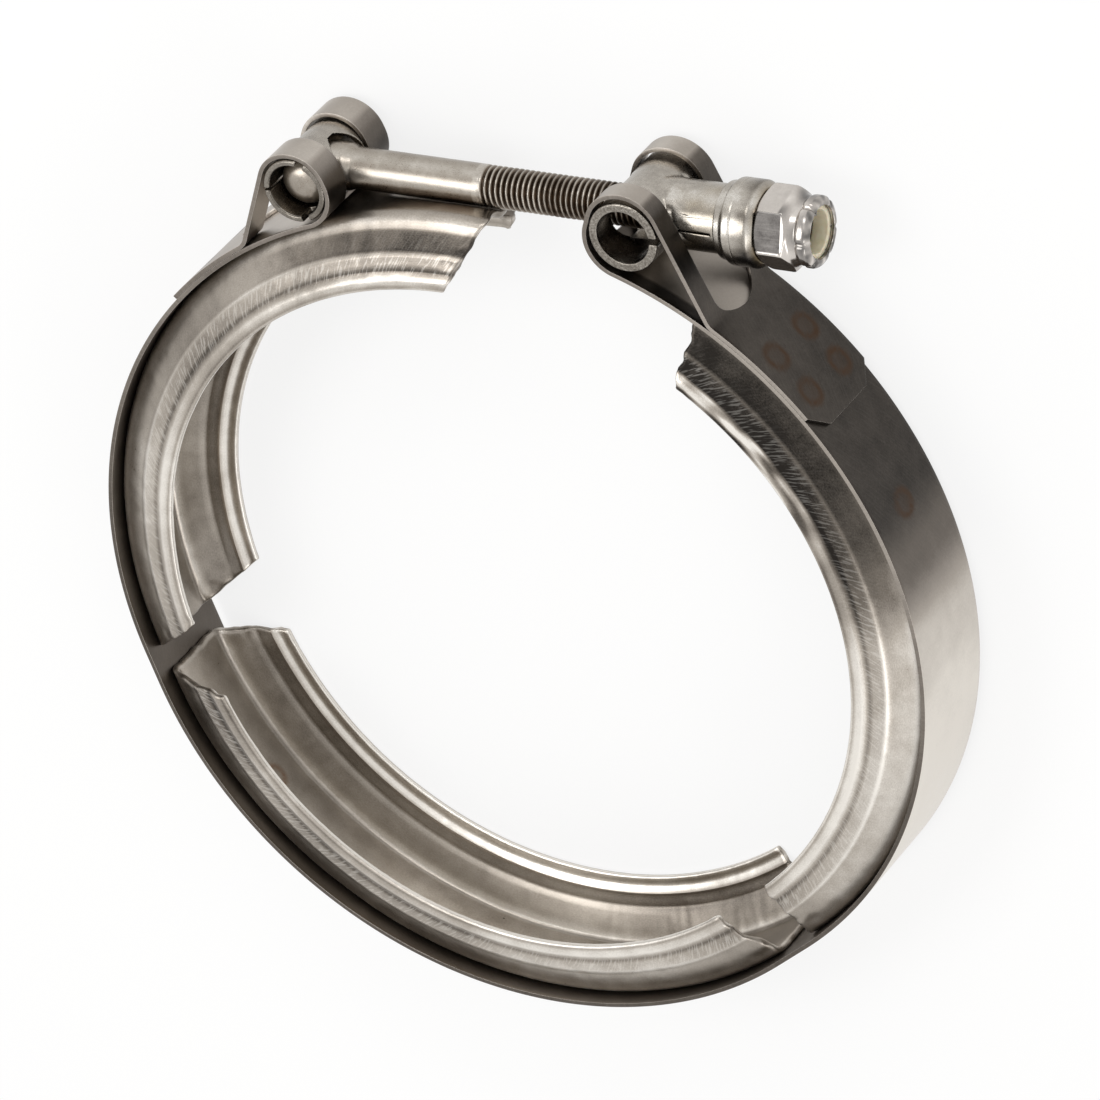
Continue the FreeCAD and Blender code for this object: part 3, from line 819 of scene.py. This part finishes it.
# The bolt lies over the left retainer's base, which is pressed down under it
def underBolt(point, inner):
    along = (point - leftAxis).dot(boltLine)
    fromBolt = point - (leftAxis + boltLine * along)
    clear = trough["shankRadius"] + trough["gap"] + channel["sheet"] * inner
    onBase = fromBolt.y < 0 and point.z ** 2 < channel["baseHalfWidth"] ** 2
    if onBase and 1 < along < boltRun.length and fromBolt.length < clear:
        return leftAxis + boltLine * along + fromBolt * (clear / max(fromBolt.length, 0.01))
    return point


def dressRetainer(piece, frontTones, backTones, insideTones, spots):
    row = piece.data.attributes["inside"].data
    zone = piece.data.attributes["along"].data
    tones, tint, scuffs = [], [], []
    for vertex, inner, along in zip(piece.data.vertices, row, zone):
        angle = (courseOf(vertex.co) - 90) % 360
        if inner.value > 0.5:
            knots = insideTones
        else:
            knots = frontTones if vertex.co.z > 0 else backTones
        lift = insideLift if inner.value > 0.5 else sectionLift
        # Inside, the half that faces up gets a little painted light
        sideLift = 0.12 * between(vertex.co.z, 2, 6) if inner.value > 0.5 else 0.0
        # The right arm's lip gets a painted highlight towards its upper end, broken up into flakes
        lipHighlight = 0.55 + 1.2 * noise.noise(Vector((angle * 0.22, along.value * 0.9, 3.0)))
        wallDip = graded(angle, wallShade) * graded(abs(along.value), wallPart) * (1 - inner.value)
        lipHighlight *= between(abs(along.value), 14.4, 15.2) * graded(angle, lipHighlightAround) * (1 - inner.value)
        tones.append(graded(angle, knots) + graded(abs(along.value), lift) + sideLift
                     + max(0.0, lipHighlight) - wallDip)
        scuffs.append(graded(abs(along.value), scuffAcross) * graded(angle, scuffAround)
                      * (1 - inner.value))
        nearest = min([9.0] + [(vertex.co - spot).length for spot in spots])
        ringShare = abs(nearest - weldMark["radius"]) / weldMark["width"]
        tint.append(max(0.0, 1 - ringShare) * weldMark["strength"])
    setRow(piece, "tone", tones)
    setRow(piece, "heatTint", tint)
    setRow(piece, "scuff", scuffs)


# Painted light and shade across the section, from the middle of the base to the lip's edge: a
# painted highlight on the base bend, a bright line at the ridge, partly painted highlight and
# partly rubbing, painted shade in the groove, a painted highlight on the lip and a dark edge
sectionLift = [(0, 0.0), (5.8, 0.0), (7.0, 0.2), (8.6, 0.02), (11.6, -0.02), (12.1, 0.25),
               (12.6, 0.0), (14.0, -0.05), (14.5, -0.3), (15.0, 0.0), (15.7, 0.22), (16.5, 0.12),
               (17.0, -0.1), (17.3, 0.2), (19, 0.2)]
# Painted light and shade across the inside: painted highlights on the base bend and the lip,
# painted shade on the wall
insideLift = [(0, 0.0), (5.0, 0.05), (6.3, -0.12), (7.2, 0.25), (8.6, -0.05), (12.0, -0.14),
              (13.6, -0.2), (14.4, -0.1), (15.4, 0.35), (16.6, 0.1), (17.3, 0.35), (19, 0.3)]
# How rubbed it is across the section, in strokes on the wall beside the lip, and round the ring,
# where the dark stretch shows them less
scuffAcross = [(0, 0.0), (8, 0.05), (11.8, 0.1), (12.4, 1.0), (14.4, 0.9), (15.0, 0.2), (17, 0.2),
               (19, 0.0)]
scuffAround = [(0, 1.0), (278, 1.0), (292, 0.45), (338, 0.45), (350, 1.0), (360, 1.0)]
# Painted reflection, pale and dark, round the ring, counted anticlockwise from the top
frontTones = [(0, 0.55), (20, 0.6), (30, 0.6), (45, 0.5), (58, 0.6), (70, 0.75), (92, 0.72),
              (102, 0.5), (114, 0.42), (128, 0.66), (140, 0.55), (165, 0.6), (176, 0.8),
              (198, 0.72), (224, 0.6), (236, 0.78), (258, 0.84), (275, 0.76), (285, 0.36),
              (293, 0.12), (302, 0.02), (325, 0.0), (345, 0.1), (350, 0.5), (360, 0.55)]
# Painted shade on the left arm's wall near the bolt
wallShade = [(0, 0.5), (12, 0.45), (24, 0.2), (34, 0.0), (350, 0.0), (353, 0.5), (360, 0.5)]
wallPart = [(0, 0.0), (8.0, 0.0), (8.8, 1.0), (11.6, 1.0), (12.2, 0.2), (19, 0.0)]
lipHighlightAround = [(0, 0.3), (12, 0.2), (25, 0.0), (284, 0.0), (296, 0.5), (306, 1.0), (324, 1.0),
            (333, 0.7), (342, 0.3), (360, 0.3)]
# Painted light and shade on the back faces and the inside, round the ring
backTones = [(0, 0.5), (120, 0.6), (240, 0.6), (300, 0.4), (360, 0.5)]
insideTones = [(0, 0.45), (60, 0.62), (90, 0.66), (104, 0.55), (112, 0.6), (126, 0.64),
               (140, 0.68), (155, 0.74), (176, 0.8), (190, 0.62), (215, 0.58), (240, 0.6),
               (300, 0.45), (360, 0.45)]
# The one weld that shows on the base's inside, with its ring of heat tint
weldMark = {"angle": 218.0, "radius": 1.7, "width": 0.8, "strength": 0.8}
baseInside = ring["strapRadius"] - ring["strapThickness"] - channel["seatGap"] - channel["sheet"]
lowerWelds = [heading(weldMark["angle"]) * baseInside]
for name, key, body, node, seed, swingOpen, relief, spots in (
        ("retainerLeft", "left", "left_arm", "retainer_left", 1.3, openLeft, underBolt, []),
        ("retainerLower", "lower", "lower_segment", "retainer_lower", 4.1, asDrawn, noRelief,
         lowerWelds),
        ("retainerRight", "right", "right_arm", "retainer_right", 7.7, openRight, noRelief, [])):
    retainer = makeRetainer(name, retainerEnds[key], seed, swingOpen, relief)
    dressRetainer(retainer, frontTones, backTones, insideTones, spots)
    finishPiece(retainer, body, rollFormed, [node])
print("retainers made")


latch = {
    "segments": 96,  # round a barrel or a sleeve
    "drillSegments": 64,
    "cutReach": 9.0,  # longer than any wall that is cut
    "voxel": 0.13,
    "quickCoarser": 1.6,
    "smoothRounds": 3,
}


# Latch parts are drawn with their trunnion axis on Z and the bolt along X, then set on their axis
def seatAt(axisPlace):
    return Matrix.Translation(axisPlace) @ Matrix.Rotation(math.radians(boltCourse), 4, "Z")


# A closed (distance, radius) outline turned about X, or about Z; reshape may push a point's radius
def lathe(name, outline, segments, about, reshape=None, closed=True):
    vertices, faces = [], []
    count = len(outline)
    for distance, radius in outline:
        for part in range(segments):
            turn = 360 * part / segments
            pushed = reshape(distance, radius, turn) if reshape else radius
            spot = heading(turn) * pushed
            onX = (distance, spot.x, spot.y)
            vertices.append(onX if about == "X" else (spot.x, spot.y, distance))
    rings = range(count) if closed else range(count - 1)
    for index in rings:
        low, high = index * segments, (index + 1) % count * segments
        for part in range(segments):
            beside = (part + 1) % segments
            faces.append((low + part, low + beside, high + beside, high + part))
    if not closed:
        faces.append(tuple(range(segments))[::-1])
        faces.append(tuple(range((count - 1) * segments, count * segments)))
    piece = makePiece(name, vertices, faces)
    faceOutward(piece)
    return piece


def makeBlock(name, low, high):
    corners = [(x, y, z) for x in (low[0], high[0]) for y in (low[1], high[1])
               for z in (low[2], high[2])]
    faces = [(0, 1, 3, 2), (4, 6, 7, 5), (0, 4, 5, 1), (2, 3, 7, 6), (0, 2, 6, 4), (1, 5, 7, 3)]
    return makePiece(name, corners, faces)


# Rounds a cut and joined piece as pressing and handling do, and keeps its mesh light
def soften(piece, faceTarget):
    coarser = 1.0
    addModifier(piece, "REMESH", mode="VOXEL", voxel_size=latch["voxel"] * coarser)
    addModifier(piece, "SMOOTH", factor=0.5, iterations=latch["smoothRounds"])
    settle(piece)
    ratio = min(1.0, faceTarget / (2 * len(piece.data.polygons)))
    addModifier(piece, "DECIMATE", ratio=ratio)
    return settle(piece)


# Painted light round the bolt's axis: a painted highlight above, painted shade below. Counted from
# +Y towards +Z
roundLightAndShade = [(0, 0.6), (30, 0.82), (52, 0.6), (70, 0.8), (90, 0.66), (106, 0.34), (122, 0.06),
              (170, 0.15), (260, 0.45), (360, 0.6)]


def paintedRoundLight(point):
    return graded(math.degrees(math.atan2(point.z, point.y)) % 360, roundLightAndShade)


headTube = {
    "radius": 5.15, "sheet": 1.05, "length": 18.8, "seam": 0.4, "seamAngle": 183.0,
    "notchAngles": (72.0, 288.0), "notchWidth": 1.3, "notchDepth": 3.0,
    "openingWidth": 7.7, "openingLength": 9.6, "rim": 0.25, "faceTarget": 60000,
    "tone": 0.58, "endShade": 0.2, "boreShade": 0.25,
}


def tubeOutline(radius, sheet, length, rim):
    half = length / 2
    bore = radius - sheet
    return [(-half, radius - rim), (-half + rim, radius), (half - rim, radius),
            (half, radius - rim), (half, bore + rim), (half - rim, bore), (-half + rim, bore),
            (-half, bore + rim)]


def rotated(piece, angle):
    piece.data.transform(Matrix.Rotation(math.radians(angle), 4, "Z"))
    return piece


def makeHeadTube():
    size = headTube
    outline = tubeOutline(size["radius"], size["sheet"], size["length"], size["rim"])
    tube = lathe("headTube", outline, latch["segments"], "Z")
    reach, top = latch["cutReach"], size["length"]
    seam = makeBlock("seam", (0, -size["seam"] / 2, -top), (reach, size["seam"] / 2, top))
    cutters = [rotated(seam, size["seamAngle"])]
    low = size["length"] / 2 - size["notchDepth"]
    for angle in size["notchAngles"]:
        notch = makeBlock("notch", (0, -size["notchWidth"] / 2, low),
                          (reach, size["notchWidth"] / 2, top))
        cutters.append(rotated(notch, angle))
    half = size["openingWidth"] / 2
    shift = (size["openingLength"] - size["openingWidth"]) / 2
    for place in (-shift, shift):
        drill = lathe("drill", [(0, half), (reach, half)], latch["drillSegments"], "X",
                      closed=False)
        drill.data.transform(Matrix.Translation((0, place, 0)))
        cutters.append(drill)
    cutters.append(makeBlock("between", (0, -shift, -half), (reach, shift, half)))
    combine(tube, cutters, "DIFFERENCE")
    soften(tube, size["faceTarget"])

    def tone(point):
        atEnd = point.z > size["length"] / 2 - 0.12
        inBore = point.xy.length < size["radius"] - size["sheet"] + 0.2
        return (size["tone"] - (size["endShade"] if atEnd else 0.0)
                - (size["boreShade"] if inBore else 0.0))

    setValues(tube, "tone", tone)
    return finishPiece(tube, "bolt", foldedSheet, ["head_tube"],
                       seatAt(leftAxis))


makeHeadTube()
print("head tube made")

tBolt = {
    "headRadius": 4.0, "headHalfLength": 7.5, "headRound": 2.8, "headDome": 0.02,
    "shankRadius": 3.175, "neckSpread": 0.5, "neckLand": 0.5, "neckLength": 1.6,
    "plainLength": 28.0, "plainStep": 0.6, "reach": 24.9, "chamfer": 0.7, "wear": 0.04,
    "pitch": 0.907, "threadDepth": 0.55, "toothWidth": 1.35, "rootFlat": 0.12, "runOut": 1.3,
    "segments": 60, "stepsPerTurn": 10, "roundParts": 8,
}


def threadHeight(distance, turn):
    phase = (distance / tBolt["pitch"] - turn / 360) % 1
    tooth = 1 - abs(2 * phase - 1)
    return min(1.0, max(0.0, tooth * tBolt["toothWidth"] - tBolt["rootFlat"]))


def makeBolt():
    size = tBolt
    length = boltRun.length + size["reach"]
    shank = size["shankRadius"]
    plainEnd = size["plainLength"] - size["runOut"]

    def reshape(distance, radius, turn):
        cut = between(distance, size["plainLength"] - size["runOut"] / 2,
                      size["plainLength"] + size["runOut"] / 2)
        worn = min(0.0, size["wear"] * noise.noise(Vector((distance * 0.5, turn * 0.03, 2.0))))
        if distance < plainEnd:
            return radius + worn
        return radius - size["threadDepth"] * cut * (1 - threadHeight(distance, turn)) + worn

    neckEnd = size["headRadius"] + size["neckLand"]
    neck = shank + size["neckSpread"]
    parts = size["roundParts"]
    # The shank starts inside the head
    outline = [(0.2, shank - 1.2), (0.5, neck), (neckEnd, neck)]
    for part in range(1, parts + 1):
        share = part / parts
        outline.append((neckEnd + size["neckLength"] * share,
                        shank + size["neckSpread"] * (1 - between(share, 0, 1))))
    distance = neckEnd + size["neckLength"] + size["plainStep"]
    while distance < plainEnd:
        outline.append((distance, shank))
        distance += size["plainStep"]
    distance = plainEnd
    while distance < length - size["chamfer"]:
        outline.append((distance, shank))
        distance += size["pitch"] / size["stepsPerTurn"]
    outline += [(length - size["chamfer"], shank), (length, shank - size["chamfer"])]
    bolt = lathe("tBolt", outline, size["segments"], "X", reshape, closed=False)
    half = size["headHalfLength"]
    headRadius, rounding = size["headRadius"], size["headRound"]
    head = [(-half, 0.2)]
    for part in range(parts + 1):
        place = heading(90 - 90 * part / parts) * rounding
        head.append((-half + rounding - place.y, headRadius - rounding + place.x))
    head += [(place, headRadius) for place in (-2.0, 0.0, 2.0)]
    head += [(-distance, radius) for distance, radius in head[parts + 1::-1]]
    # The ends are domed, as cold heading leaves them
    head = [(distance * (1 - size["headDome"] * (radius / headRadius) ** 2), radius)
            for distance, radius in head]
    headPiece = lathe("boltHead", head, latch["drillSegments"], "Z", closed=False)
    combine(bolt, [headPiece], "UNION")
    threadTones = [(shank - size["threadDepth"], 0.02), (shank - 0.25, 0.25), (shank, 0.72)]

    # The plain shank takes a painted highlight above and painted shade below
    def tone(point):
        if abs(point.z) > shank + 0.6:
            return 0.6
        if point.x < plainEnd:
            return 0.2 + 0.65 * paintedRoundLight(point)
        return graded(math.hypot(point.y, point.z), threadTones)

    setValues(bolt, "tone", tone)
    setValues(bolt, "heatTint", lambda point: 0.9 * between(point.x, 30, 36) * max(
        0.0, 0.35 + noise.noise(point * 0.22)))
    return finishPiece(bolt, "bolt", threadRolled, ["t_bolt"], seatAt(leftAxis))


makeBolt()
print("bolt made")

trunnion = {
    "barrelRadius": 5.6, "sheet": 1.35, "barrelLength": 18.8, "opening": 4.5, "seam": 1.0,
    "sleeveRadius": 5.2, "sleeveSeam": 0.24, "sleeveSeamEnd": 12.2, "sleeveEnd": 19.35,
    "rim": 0.2, "faceTarget": 110000, "filletReach": 2.6, "filletRounds": 14, "creaseDepth": 0.3,
}


def makeTrunnion():
    size = trunnion
    half = size["barrelLength"] / 2
    rim = size["rim"]
    barrelRadius, sleeveRadius = size["barrelRadius"], size["sleeveRadius"]
    segments, reach = latch["segments"], latch["cutReach"]
    barrel = lathe("trunnion", [(-half, barrelRadius - rim), (-half + rim, barrelRadius),
                                (half - rim, barrelRadius), (half, barrelRadius - rim)],
                   segments, "Z", closed=False)
    sleeve = lathe("sleeve", [(0, sleeveRadius), (size["sleeveEnd"], sleeveRadius)], segments,
                   "X", closed=False)
    combine(barrel, [sleeve], "UNION")
    bore = barrelRadius - size["sheet"]
    way = sleeveRadius - size["sheet"]
    cutters = [
        lathe("bore", [(-half - 1, bore), (half + 1, bore)], segments, "Z", closed=False),
        lathe("way", [(0, way), (size["sleeveEnd"] + 1, way)], segments, "X", closed=False),
        lathe("opening", [(-reach, size["opening"]), (0, size["opening"])], segments, "X",
              closed=False),
        makeBlock("barrelSeam", (0, -size["seam"] / 2, -half - 1),
                  (barrelRadius + 0.4, size["seam"] / 2, half + 1)),
        makeBlock("sleeveSeam", (0, -size["sleeveSeam"] / 2, -half - 1),
                  (size["sleeveSeamEnd"], size["sleeveSeam"] / 2, half + 1)),
    ]
    combine(barrel, cutters, "DIFFERENCE")
    soften(barrel, size["faceTarget"])
    # The sheet flows from barrel to sleeve, so the inner corner is rounded out there
    group = barrel.vertex_groups.new(name="fillet")
    for vertex in barrel.data.vertices:
        point = vertex.co
        fromJoin = abs(math.hypot(point.y, point.z) - sleeveRadius)
        fromBarrel = abs(math.hypot(point.x, point.y) - barrelRadius)
        nearness = 1 - max(fromJoin, fromBarrel) / size["filletReach"]
        if nearness > 0 and point.x > 1.5 and abs(point.y) > 1.2:
            group.add([vertex.index], min(1.0, nearness * 1.5), "ADD")
    addModifier(barrel, "SMOOTH", factor=0.5, iterations=size["filletRounds"],
                vertex_group="fillet")
    settle(barrel)
    # Folding leaves creases there, deeper on the upper side
    for vertex in barrel.data.vertices:
        point = vertex.co
        crease = between(point.x, 2, 4) * (1 - between(point.x, 7, 10))
        crease *= 1 if point.y > 0 else 0.5
        push = noise.noise(Vector((point.x * 0.5, point.y * 0.9, point.z * 0.8)))
        push *= size["creaseDepth"] * crease
        vertex.co = point * (1 + min(0.0, push) / max(point.length, 1))

    # The sleeve takes a painted highlight above and painted shade below
    def tone(point):
        value = paintedRoundLight(point) if point.x > barrelRadius - 1 else 0.6
        if abs(point.z) > half - 0.25:
            value = 0.4 + 0.25 * noise.noise(point * 3.5)
        if math.hypot(point.x, point.y) < bore + 0.15:
            value = 0.42
        if abs(point.y) < 0.2 and barrelRadius < point.x < size["sleeveSeamEnd"]:
            value = 0.1
        return value

    setValues(barrel, "tone", tone)
    setValues(barrel, "heatTint", lambda point: 0.35 * between(point.x, 5, 8)
              * (0.3 + noise.noise(point * 0.35)))
    return finishPiece(barrel, "trunnion_block", foldedSheet, ["trunnion"],
                       seatAt(rightAxis))


makeTrunnion()
print("trunnion made")

ferrule = {
    "start": 12.8, "end": 19.35, "radius": 6.55, "mouthRadius": 6.0, "boreRadius": 5.2,
    "shoulder": 14.6, "shoulderRun": 0.5, "endChamfer": 0.9, "rounding": 0.3, "wear": 0.03,
    "groove": (1.1, 1.25, 1.4), "grooveDepth": 0.08,  # places counted from the shoulder
}


def roundedOutline(corners, rounding, parts=4):
    outline = []
    count = len(corners)
    for index, corner in enumerate(corners):
        here = Vector((*corner[:2], 0))
        before = Vector((*corners[index - 1][:2], 0))
        after = Vector((*corners[(index + 1) % count][:2], 0))
        size = min(rounding, (here - before).length * 0.45, (after - here).length * 0.45)
        first = here + (before - here).normalized() * size
        last = here + (after - here).normalized() * size
        for part in range(parts + 1):
            share = part / parts
            spot = first * (1 - share) ** 2 + here * 2 * share * (1 - share) + last * share ** 2
            outline.append((spot.x, spot.y))
    return outline


def makeFerrule():
    size = ferrule
    grooveStart, grooveMiddle, grooveEnd = (size["shoulder"] + place for place in size["groove"])
    outline = roundedOutline([
        (size["start"], size["boreRadius"]),
        (size["start"] + 0.1, size["mouthRadius"] - 0.15),
        (size["shoulder"] - size["shoulderRun"], size["mouthRadius"]),
        (size["shoulder"], size["radius"]),
        (grooveStart, size["radius"]),
        (grooveMiddle, size["radius"] - size["grooveDepth"]),
        (grooveEnd, size["radius"]),
        (size["end"] - size["endChamfer"], size["radius"]),
        (size["end"], size["radius"] - size["endChamfer"]),
        (size["end"], size["boreRadius"]),
    ], size["rounding"])
    piece = lathe("ferrule", outline, latch["segments"], "X",
                  lambda distance, radius, turn: radius + size["wear"] * min(
                      0.0, noise.noise(Vector((distance * 0.6, turn * 0.04, 5.0)))))
    # It takes a painted highlight above and painted shade below. A dull line runs round it before
    # the chamfer, and its end face is tinted
    setValues(piece, "tone", lambda point: paintedRoundLight(point) - 0.3 * (1 - between(
        abs(point.x - size["end"] + 1.4), 0.2, 0.9)))
    setValues(piece, "heatTint", lambda point: 0.4 * (1 - between(
        abs(point.x - size["end"]), 0.0, 0.4)))
    return finishPiece(piece, "trunnion_block", foldedSheet, ["ferrule"],
                       seatAt(rightAxis))


makeFerrule()
print("ferrule made")

lockNut = {
    "start": 19.4, "apothem": 5.6, "hexLength": 5.2, "cornerAngle": 42.0, "faceRadius": 5.35,
    "slope": 30.0, "waist": 4.95, "waistLength": 1.2, "rim": 5.4, "bulge": (0.9, 0.4),
    "crownLength": 3.4, "mouth": 4.0, "mouthRound": 0.5, "roll": 0.9, "wall": 0.7, "bore": 3.275,
    "rounding": 0.45, "roundParts": 6, "cornerSoftness": 0.05, "pointSpacing": 0.35,
    "segments": 180, "darkFlat": 0, "darkHalfAngle": 28,
    # Tool marks round the crown: angle, depth and width in degrees
    "nicks": ((20, 0.6, 9), (85, 0.4, 7), (140, 0.55, 8), (200, 0.5, 9), (255, 0.6, 7),
              (310, 0.4, 8)),
    "insertLength": 2.8, "insertGap": 0.05, "insertRounding": 0.25,
}


def makeNut():
    size = lockNut
    hexEnd = size["start"] + size["hexLength"]
    crownEnd = hexEnd + size["crownLength"]
    pocketStart = crownEnd - size["wall"] - size["insertLength"]
    cornerRadius = size["apothem"] / math.cos(math.radians(30))
    chamfer = (cornerRadius - size["faceRadius"]) * math.tan(math.radians(size["slope"]))
    outline = roundedOutline([
        (size["start"], size["bore"]),
        (size["start"], size["faceRadius"]),
        (size["start"] + chamfer, cornerRadius),
        (hexEnd - chamfer, cornerRadius),
        (hexEnd, size["faceRadius"]),
        (hexEnd + size["waistLength"], size["waist"]),
        (crownEnd - size["roll"] - size["bulge"][0], size["rim"]),
        (crownEnd - size["roll"] + size["bulge"][1], size["rim"]),
        (crownEnd, size["mouth"] + size["mouthRound"]),
        (crownEnd - 0.05, size["mouth"]),
        (crownEnd - size["wall"], size["mouth"]),
        (crownEnd - size["wall"], size["waist"] - size["wall"]),
        (pocketStart, size["waist"] - size["wall"]),
        (pocketStart, size["bore"]),
    ], size["rounding"], size["roundParts"])

    def reshape(distance, radius, turn):
        if radius > size["apothem"] - 0.4 and distance < hexEnd + 0.05:
            flat = (turn - size["cornerAngle"] + 30) % 60 - 30
            across = size["apothem"] / math.cos(math.radians(30 - abs(flat)))
            soft = size["cornerSoftness"]
            radius = -soft * math.log(math.exp(-radius / soft) + math.exp(-across / soft))
        if distance > hexEnd + size["waistLength"] and radius > size["mouth"] + 0.2:
            for angle, depth, width in size["nicks"]:
                aside = abs((turn - angle + 180) % 360 - 180)
                radius -= depth * max(0.0, 1 - aside / width) ** 1.5
        return radius

    denser = []
    for (distance, radius), (nextDistance, nextRadius) in zip(outline, outline[1:] + outline[:1]):
        span = math.hypot(nextDistance - distance, nextRadius - radius)
        parts = max(1, math.ceil(span / size["pointSpacing"]))
        denser += [(distance + (nextDistance - distance) * part / parts,
                    radius + (nextRadius - radius) * part / parts) for part in range(parts)]
    nut = lathe("lockNut", denser, size["segments"], "X", reshape)

    # One flat gets a painted dark reflection and fine marks, the other flats a painted pale
    # reflection
    def onDarkReflection(point):
        turn = math.degrees(math.atan2(point.z, point.y)) % 360
        fromFlat = (turn - size["cornerAngle"] - 30 - 60 * size["darkFlat"] + 180) % 360 - 180
        return abs(fromFlat) < size["darkHalfAngle"] and point.x < hexEnd - chamfer - 0.1

    def tone(point):
        if onDarkReflection(point):
            return 0.08
        if point.x < hexEnd - chamfer * 2:
            return 0.76
        if point.x > crownEnd - 0.7:
            return 0.5 + 0.5 * noise.noise(point * 0.9)
        return 0.62 + 0.55 * noise.noise(Vector((point.x * 0.35, point.y * 0.3, point.z * 0.3 + 4)))

    setValues(nut, "tone", tone)
    setValues(nut, "scuff", lambda point: 0.045 if onDarkReflection(point) else 0.03)
    return finishPiece(nut, "nut", turnedNut, ["lock_nut"], seatAt(rightAxis))


def makeInsert():
    size = lockNut
    crownEnd = size["start"] + size["hexLength"] + size["crownLength"]
    low = crownEnd - size["wall"] - size["insertLength"] + size["insertGap"]
    high = crownEnd - size["wall"] - size["insertGap"]
    outside = size["waist"] - size["wall"] - size["insertGap"]
    outline = roundedOutline([(low, size["bore"]), (low, outside), (high, outside),
                              (high, size["bore"])], size["insertRounding"])

    # The bore is a little uneven, as the thread leaves it
    def reshape(distance, radius, turn):
        if radius < size["bore"] + 0.3:
            radius += 0.05 * abs(noise.noise(Vector((turn * 0.08, distance, 1.0))))
        return radius

    insert = lathe("nylonInsert", outline, 72, "X", reshape)
    return finishPiece(insert, "nut", ivoryNylon, ["nylon_insert"], seatAt(rightAxis))


makeNut()
makeInsert()
print("nut and insert made")

# The strap halves' placing is baked into their meshes, the last change to them
for piece, body, hinge, bendAngle, side in (
        (leftStrap, "left_arm", leftHinge, ring["leftBendAngle"], leftSide),
        (rightStrap, "right_arm", rightHinge, ring["rightBendAngle"], rightSide)):
    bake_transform(piece)

studio = {
    "floorHalf": 3.0,  # metres, as are the lamps' places and sizes
    "floorLevel": -10.97,
    "floorGap": 0.00003,
    "worldFill": 0.75,
    "floorGlow": 0.8,
    "lamps": (("keyLight", (-0.35, 0.25, 0.75), (0.5, 0.35), 2.0),
              ("fillLight", (0.65, -0.35, 0.55), (0.6, 0.25), 1.0),
              ("backLight", (0.1, 0.8, 0.45), (0.7, 0.15), 1.4)),
    "cameraPlace": (682.1, 746.5, 1117.5),
    "cameraRight": (0.8817, -0.1184, -0.4566),
    "cameraUp": (-0.1360, 0.8631, -0.4864),
    "lens": 327.3,
}


# 1 where the camera sees a surface, itself or in metal or through nylon
def seenNode(tree):
    path = addNode(tree, "ShaderNodeLightPath")
    seen = mathNode(tree, "MAXIMUM", path.outputs["Is Camera Ray"], path.outputs["Is Glossy Ray"])
    return mathNode(tree, "MAXIMUM", seen, path.outputs["Is Transmission Ray"])


def makeFloor():
    half = studio["floorHalf"]
    level = studio["floorLevel"] * metresPerMm - studio["floorGap"]
    floor = makePiece("floor", [(-half, -half, level), (half, -half, level), (half, half, level),
                                (-half, half, level)], [(0, 1, 2, 3)])
    material, tree = newMaterial("paleStudioFloor")
    share = mathNode(tree, "MULTIPLY", seenNode(tree), studio["floorGlow"])
    matte = addNode(tree, "ShaderNodeBsdfDiffuse", {"Color": colour("#f6f5f3")})
    glow = addNode(tree, "ShaderNodeEmission", {"Color": grey(1.0), "Strength": 1.0})
    blend = addNode(tree, "ShaderNodeMixShader", {
        0: share, 1: matte.outputs[0], 2: glow.outputs[0]})
    addNode(tree, "ShaderNodeOutputMaterial", {"Surface": blend.outputs[0]})
    floor.data.materials.append(material)


# Soft light from all round, white where it is seen
def makeWorld():
    world = bpy.data.worlds.new("softStudio")
    bpy.context.scene.world = world
    world.use_nodes = True
    tree = world.node_tree
    tree.nodes.clear()
    fill = studio["worldFill"]
    strength = mathNode(tree, "MULTIPLY_ADD", seenNode(tree), 1 - fill, fill)
    sky = addNode(tree, "ShaderNodeBackground", {"Color": grey(1.0), "Strength": strength})
    addNode(tree, "ShaderNodeOutputWorld", {"Surface": sky.outputs[0]})


def makeLamps():
    for name, place, size, power in studio["lamps"]:
        lamp = bpy.data.lights.new(name, "AREA")
        lamp.shape = "RECTANGLE"
        lamp.size, lamp.size_y = size
        lamp.energy = power
        light = bpy.data.objects.new(name, lamp)
        light.location = place
        light.rotation_euler = (-Vector(place)).to_track_quat("-Z", "Y").to_euler()
        bpy.context.scene.collection.objects.link(light)


def makeCamera():
    right, top = Vector(studio["cameraRight"]), Vector(studio["cameraUp"])
    back = right.cross(top).normalized()
    top = back.cross(right).normalized()
    view = bpy.data.cameras.new("photoCamera")
    view.lens = studio["lens"]
    view.clip_start, view.clip_end = 0.05, 10.0
    camera = bpy.data.objects.new("photoCamera", view)
    turned = Matrix((right, top, back)).transposed().to_4x4()
    camera.matrix_world = Matrix.Translation(
        Vector(studio["cameraPlace"]) * metresPerMm) @ turned
    bpy.context.scene.collection.objects.link(camera)
    bpy.context.scene.camera = camera


makeFloor()
makeWorld()
makeLamps()
makeCamera()
bpy.context.scene.view_settings.view_transform = "Standard"
print("studio made")
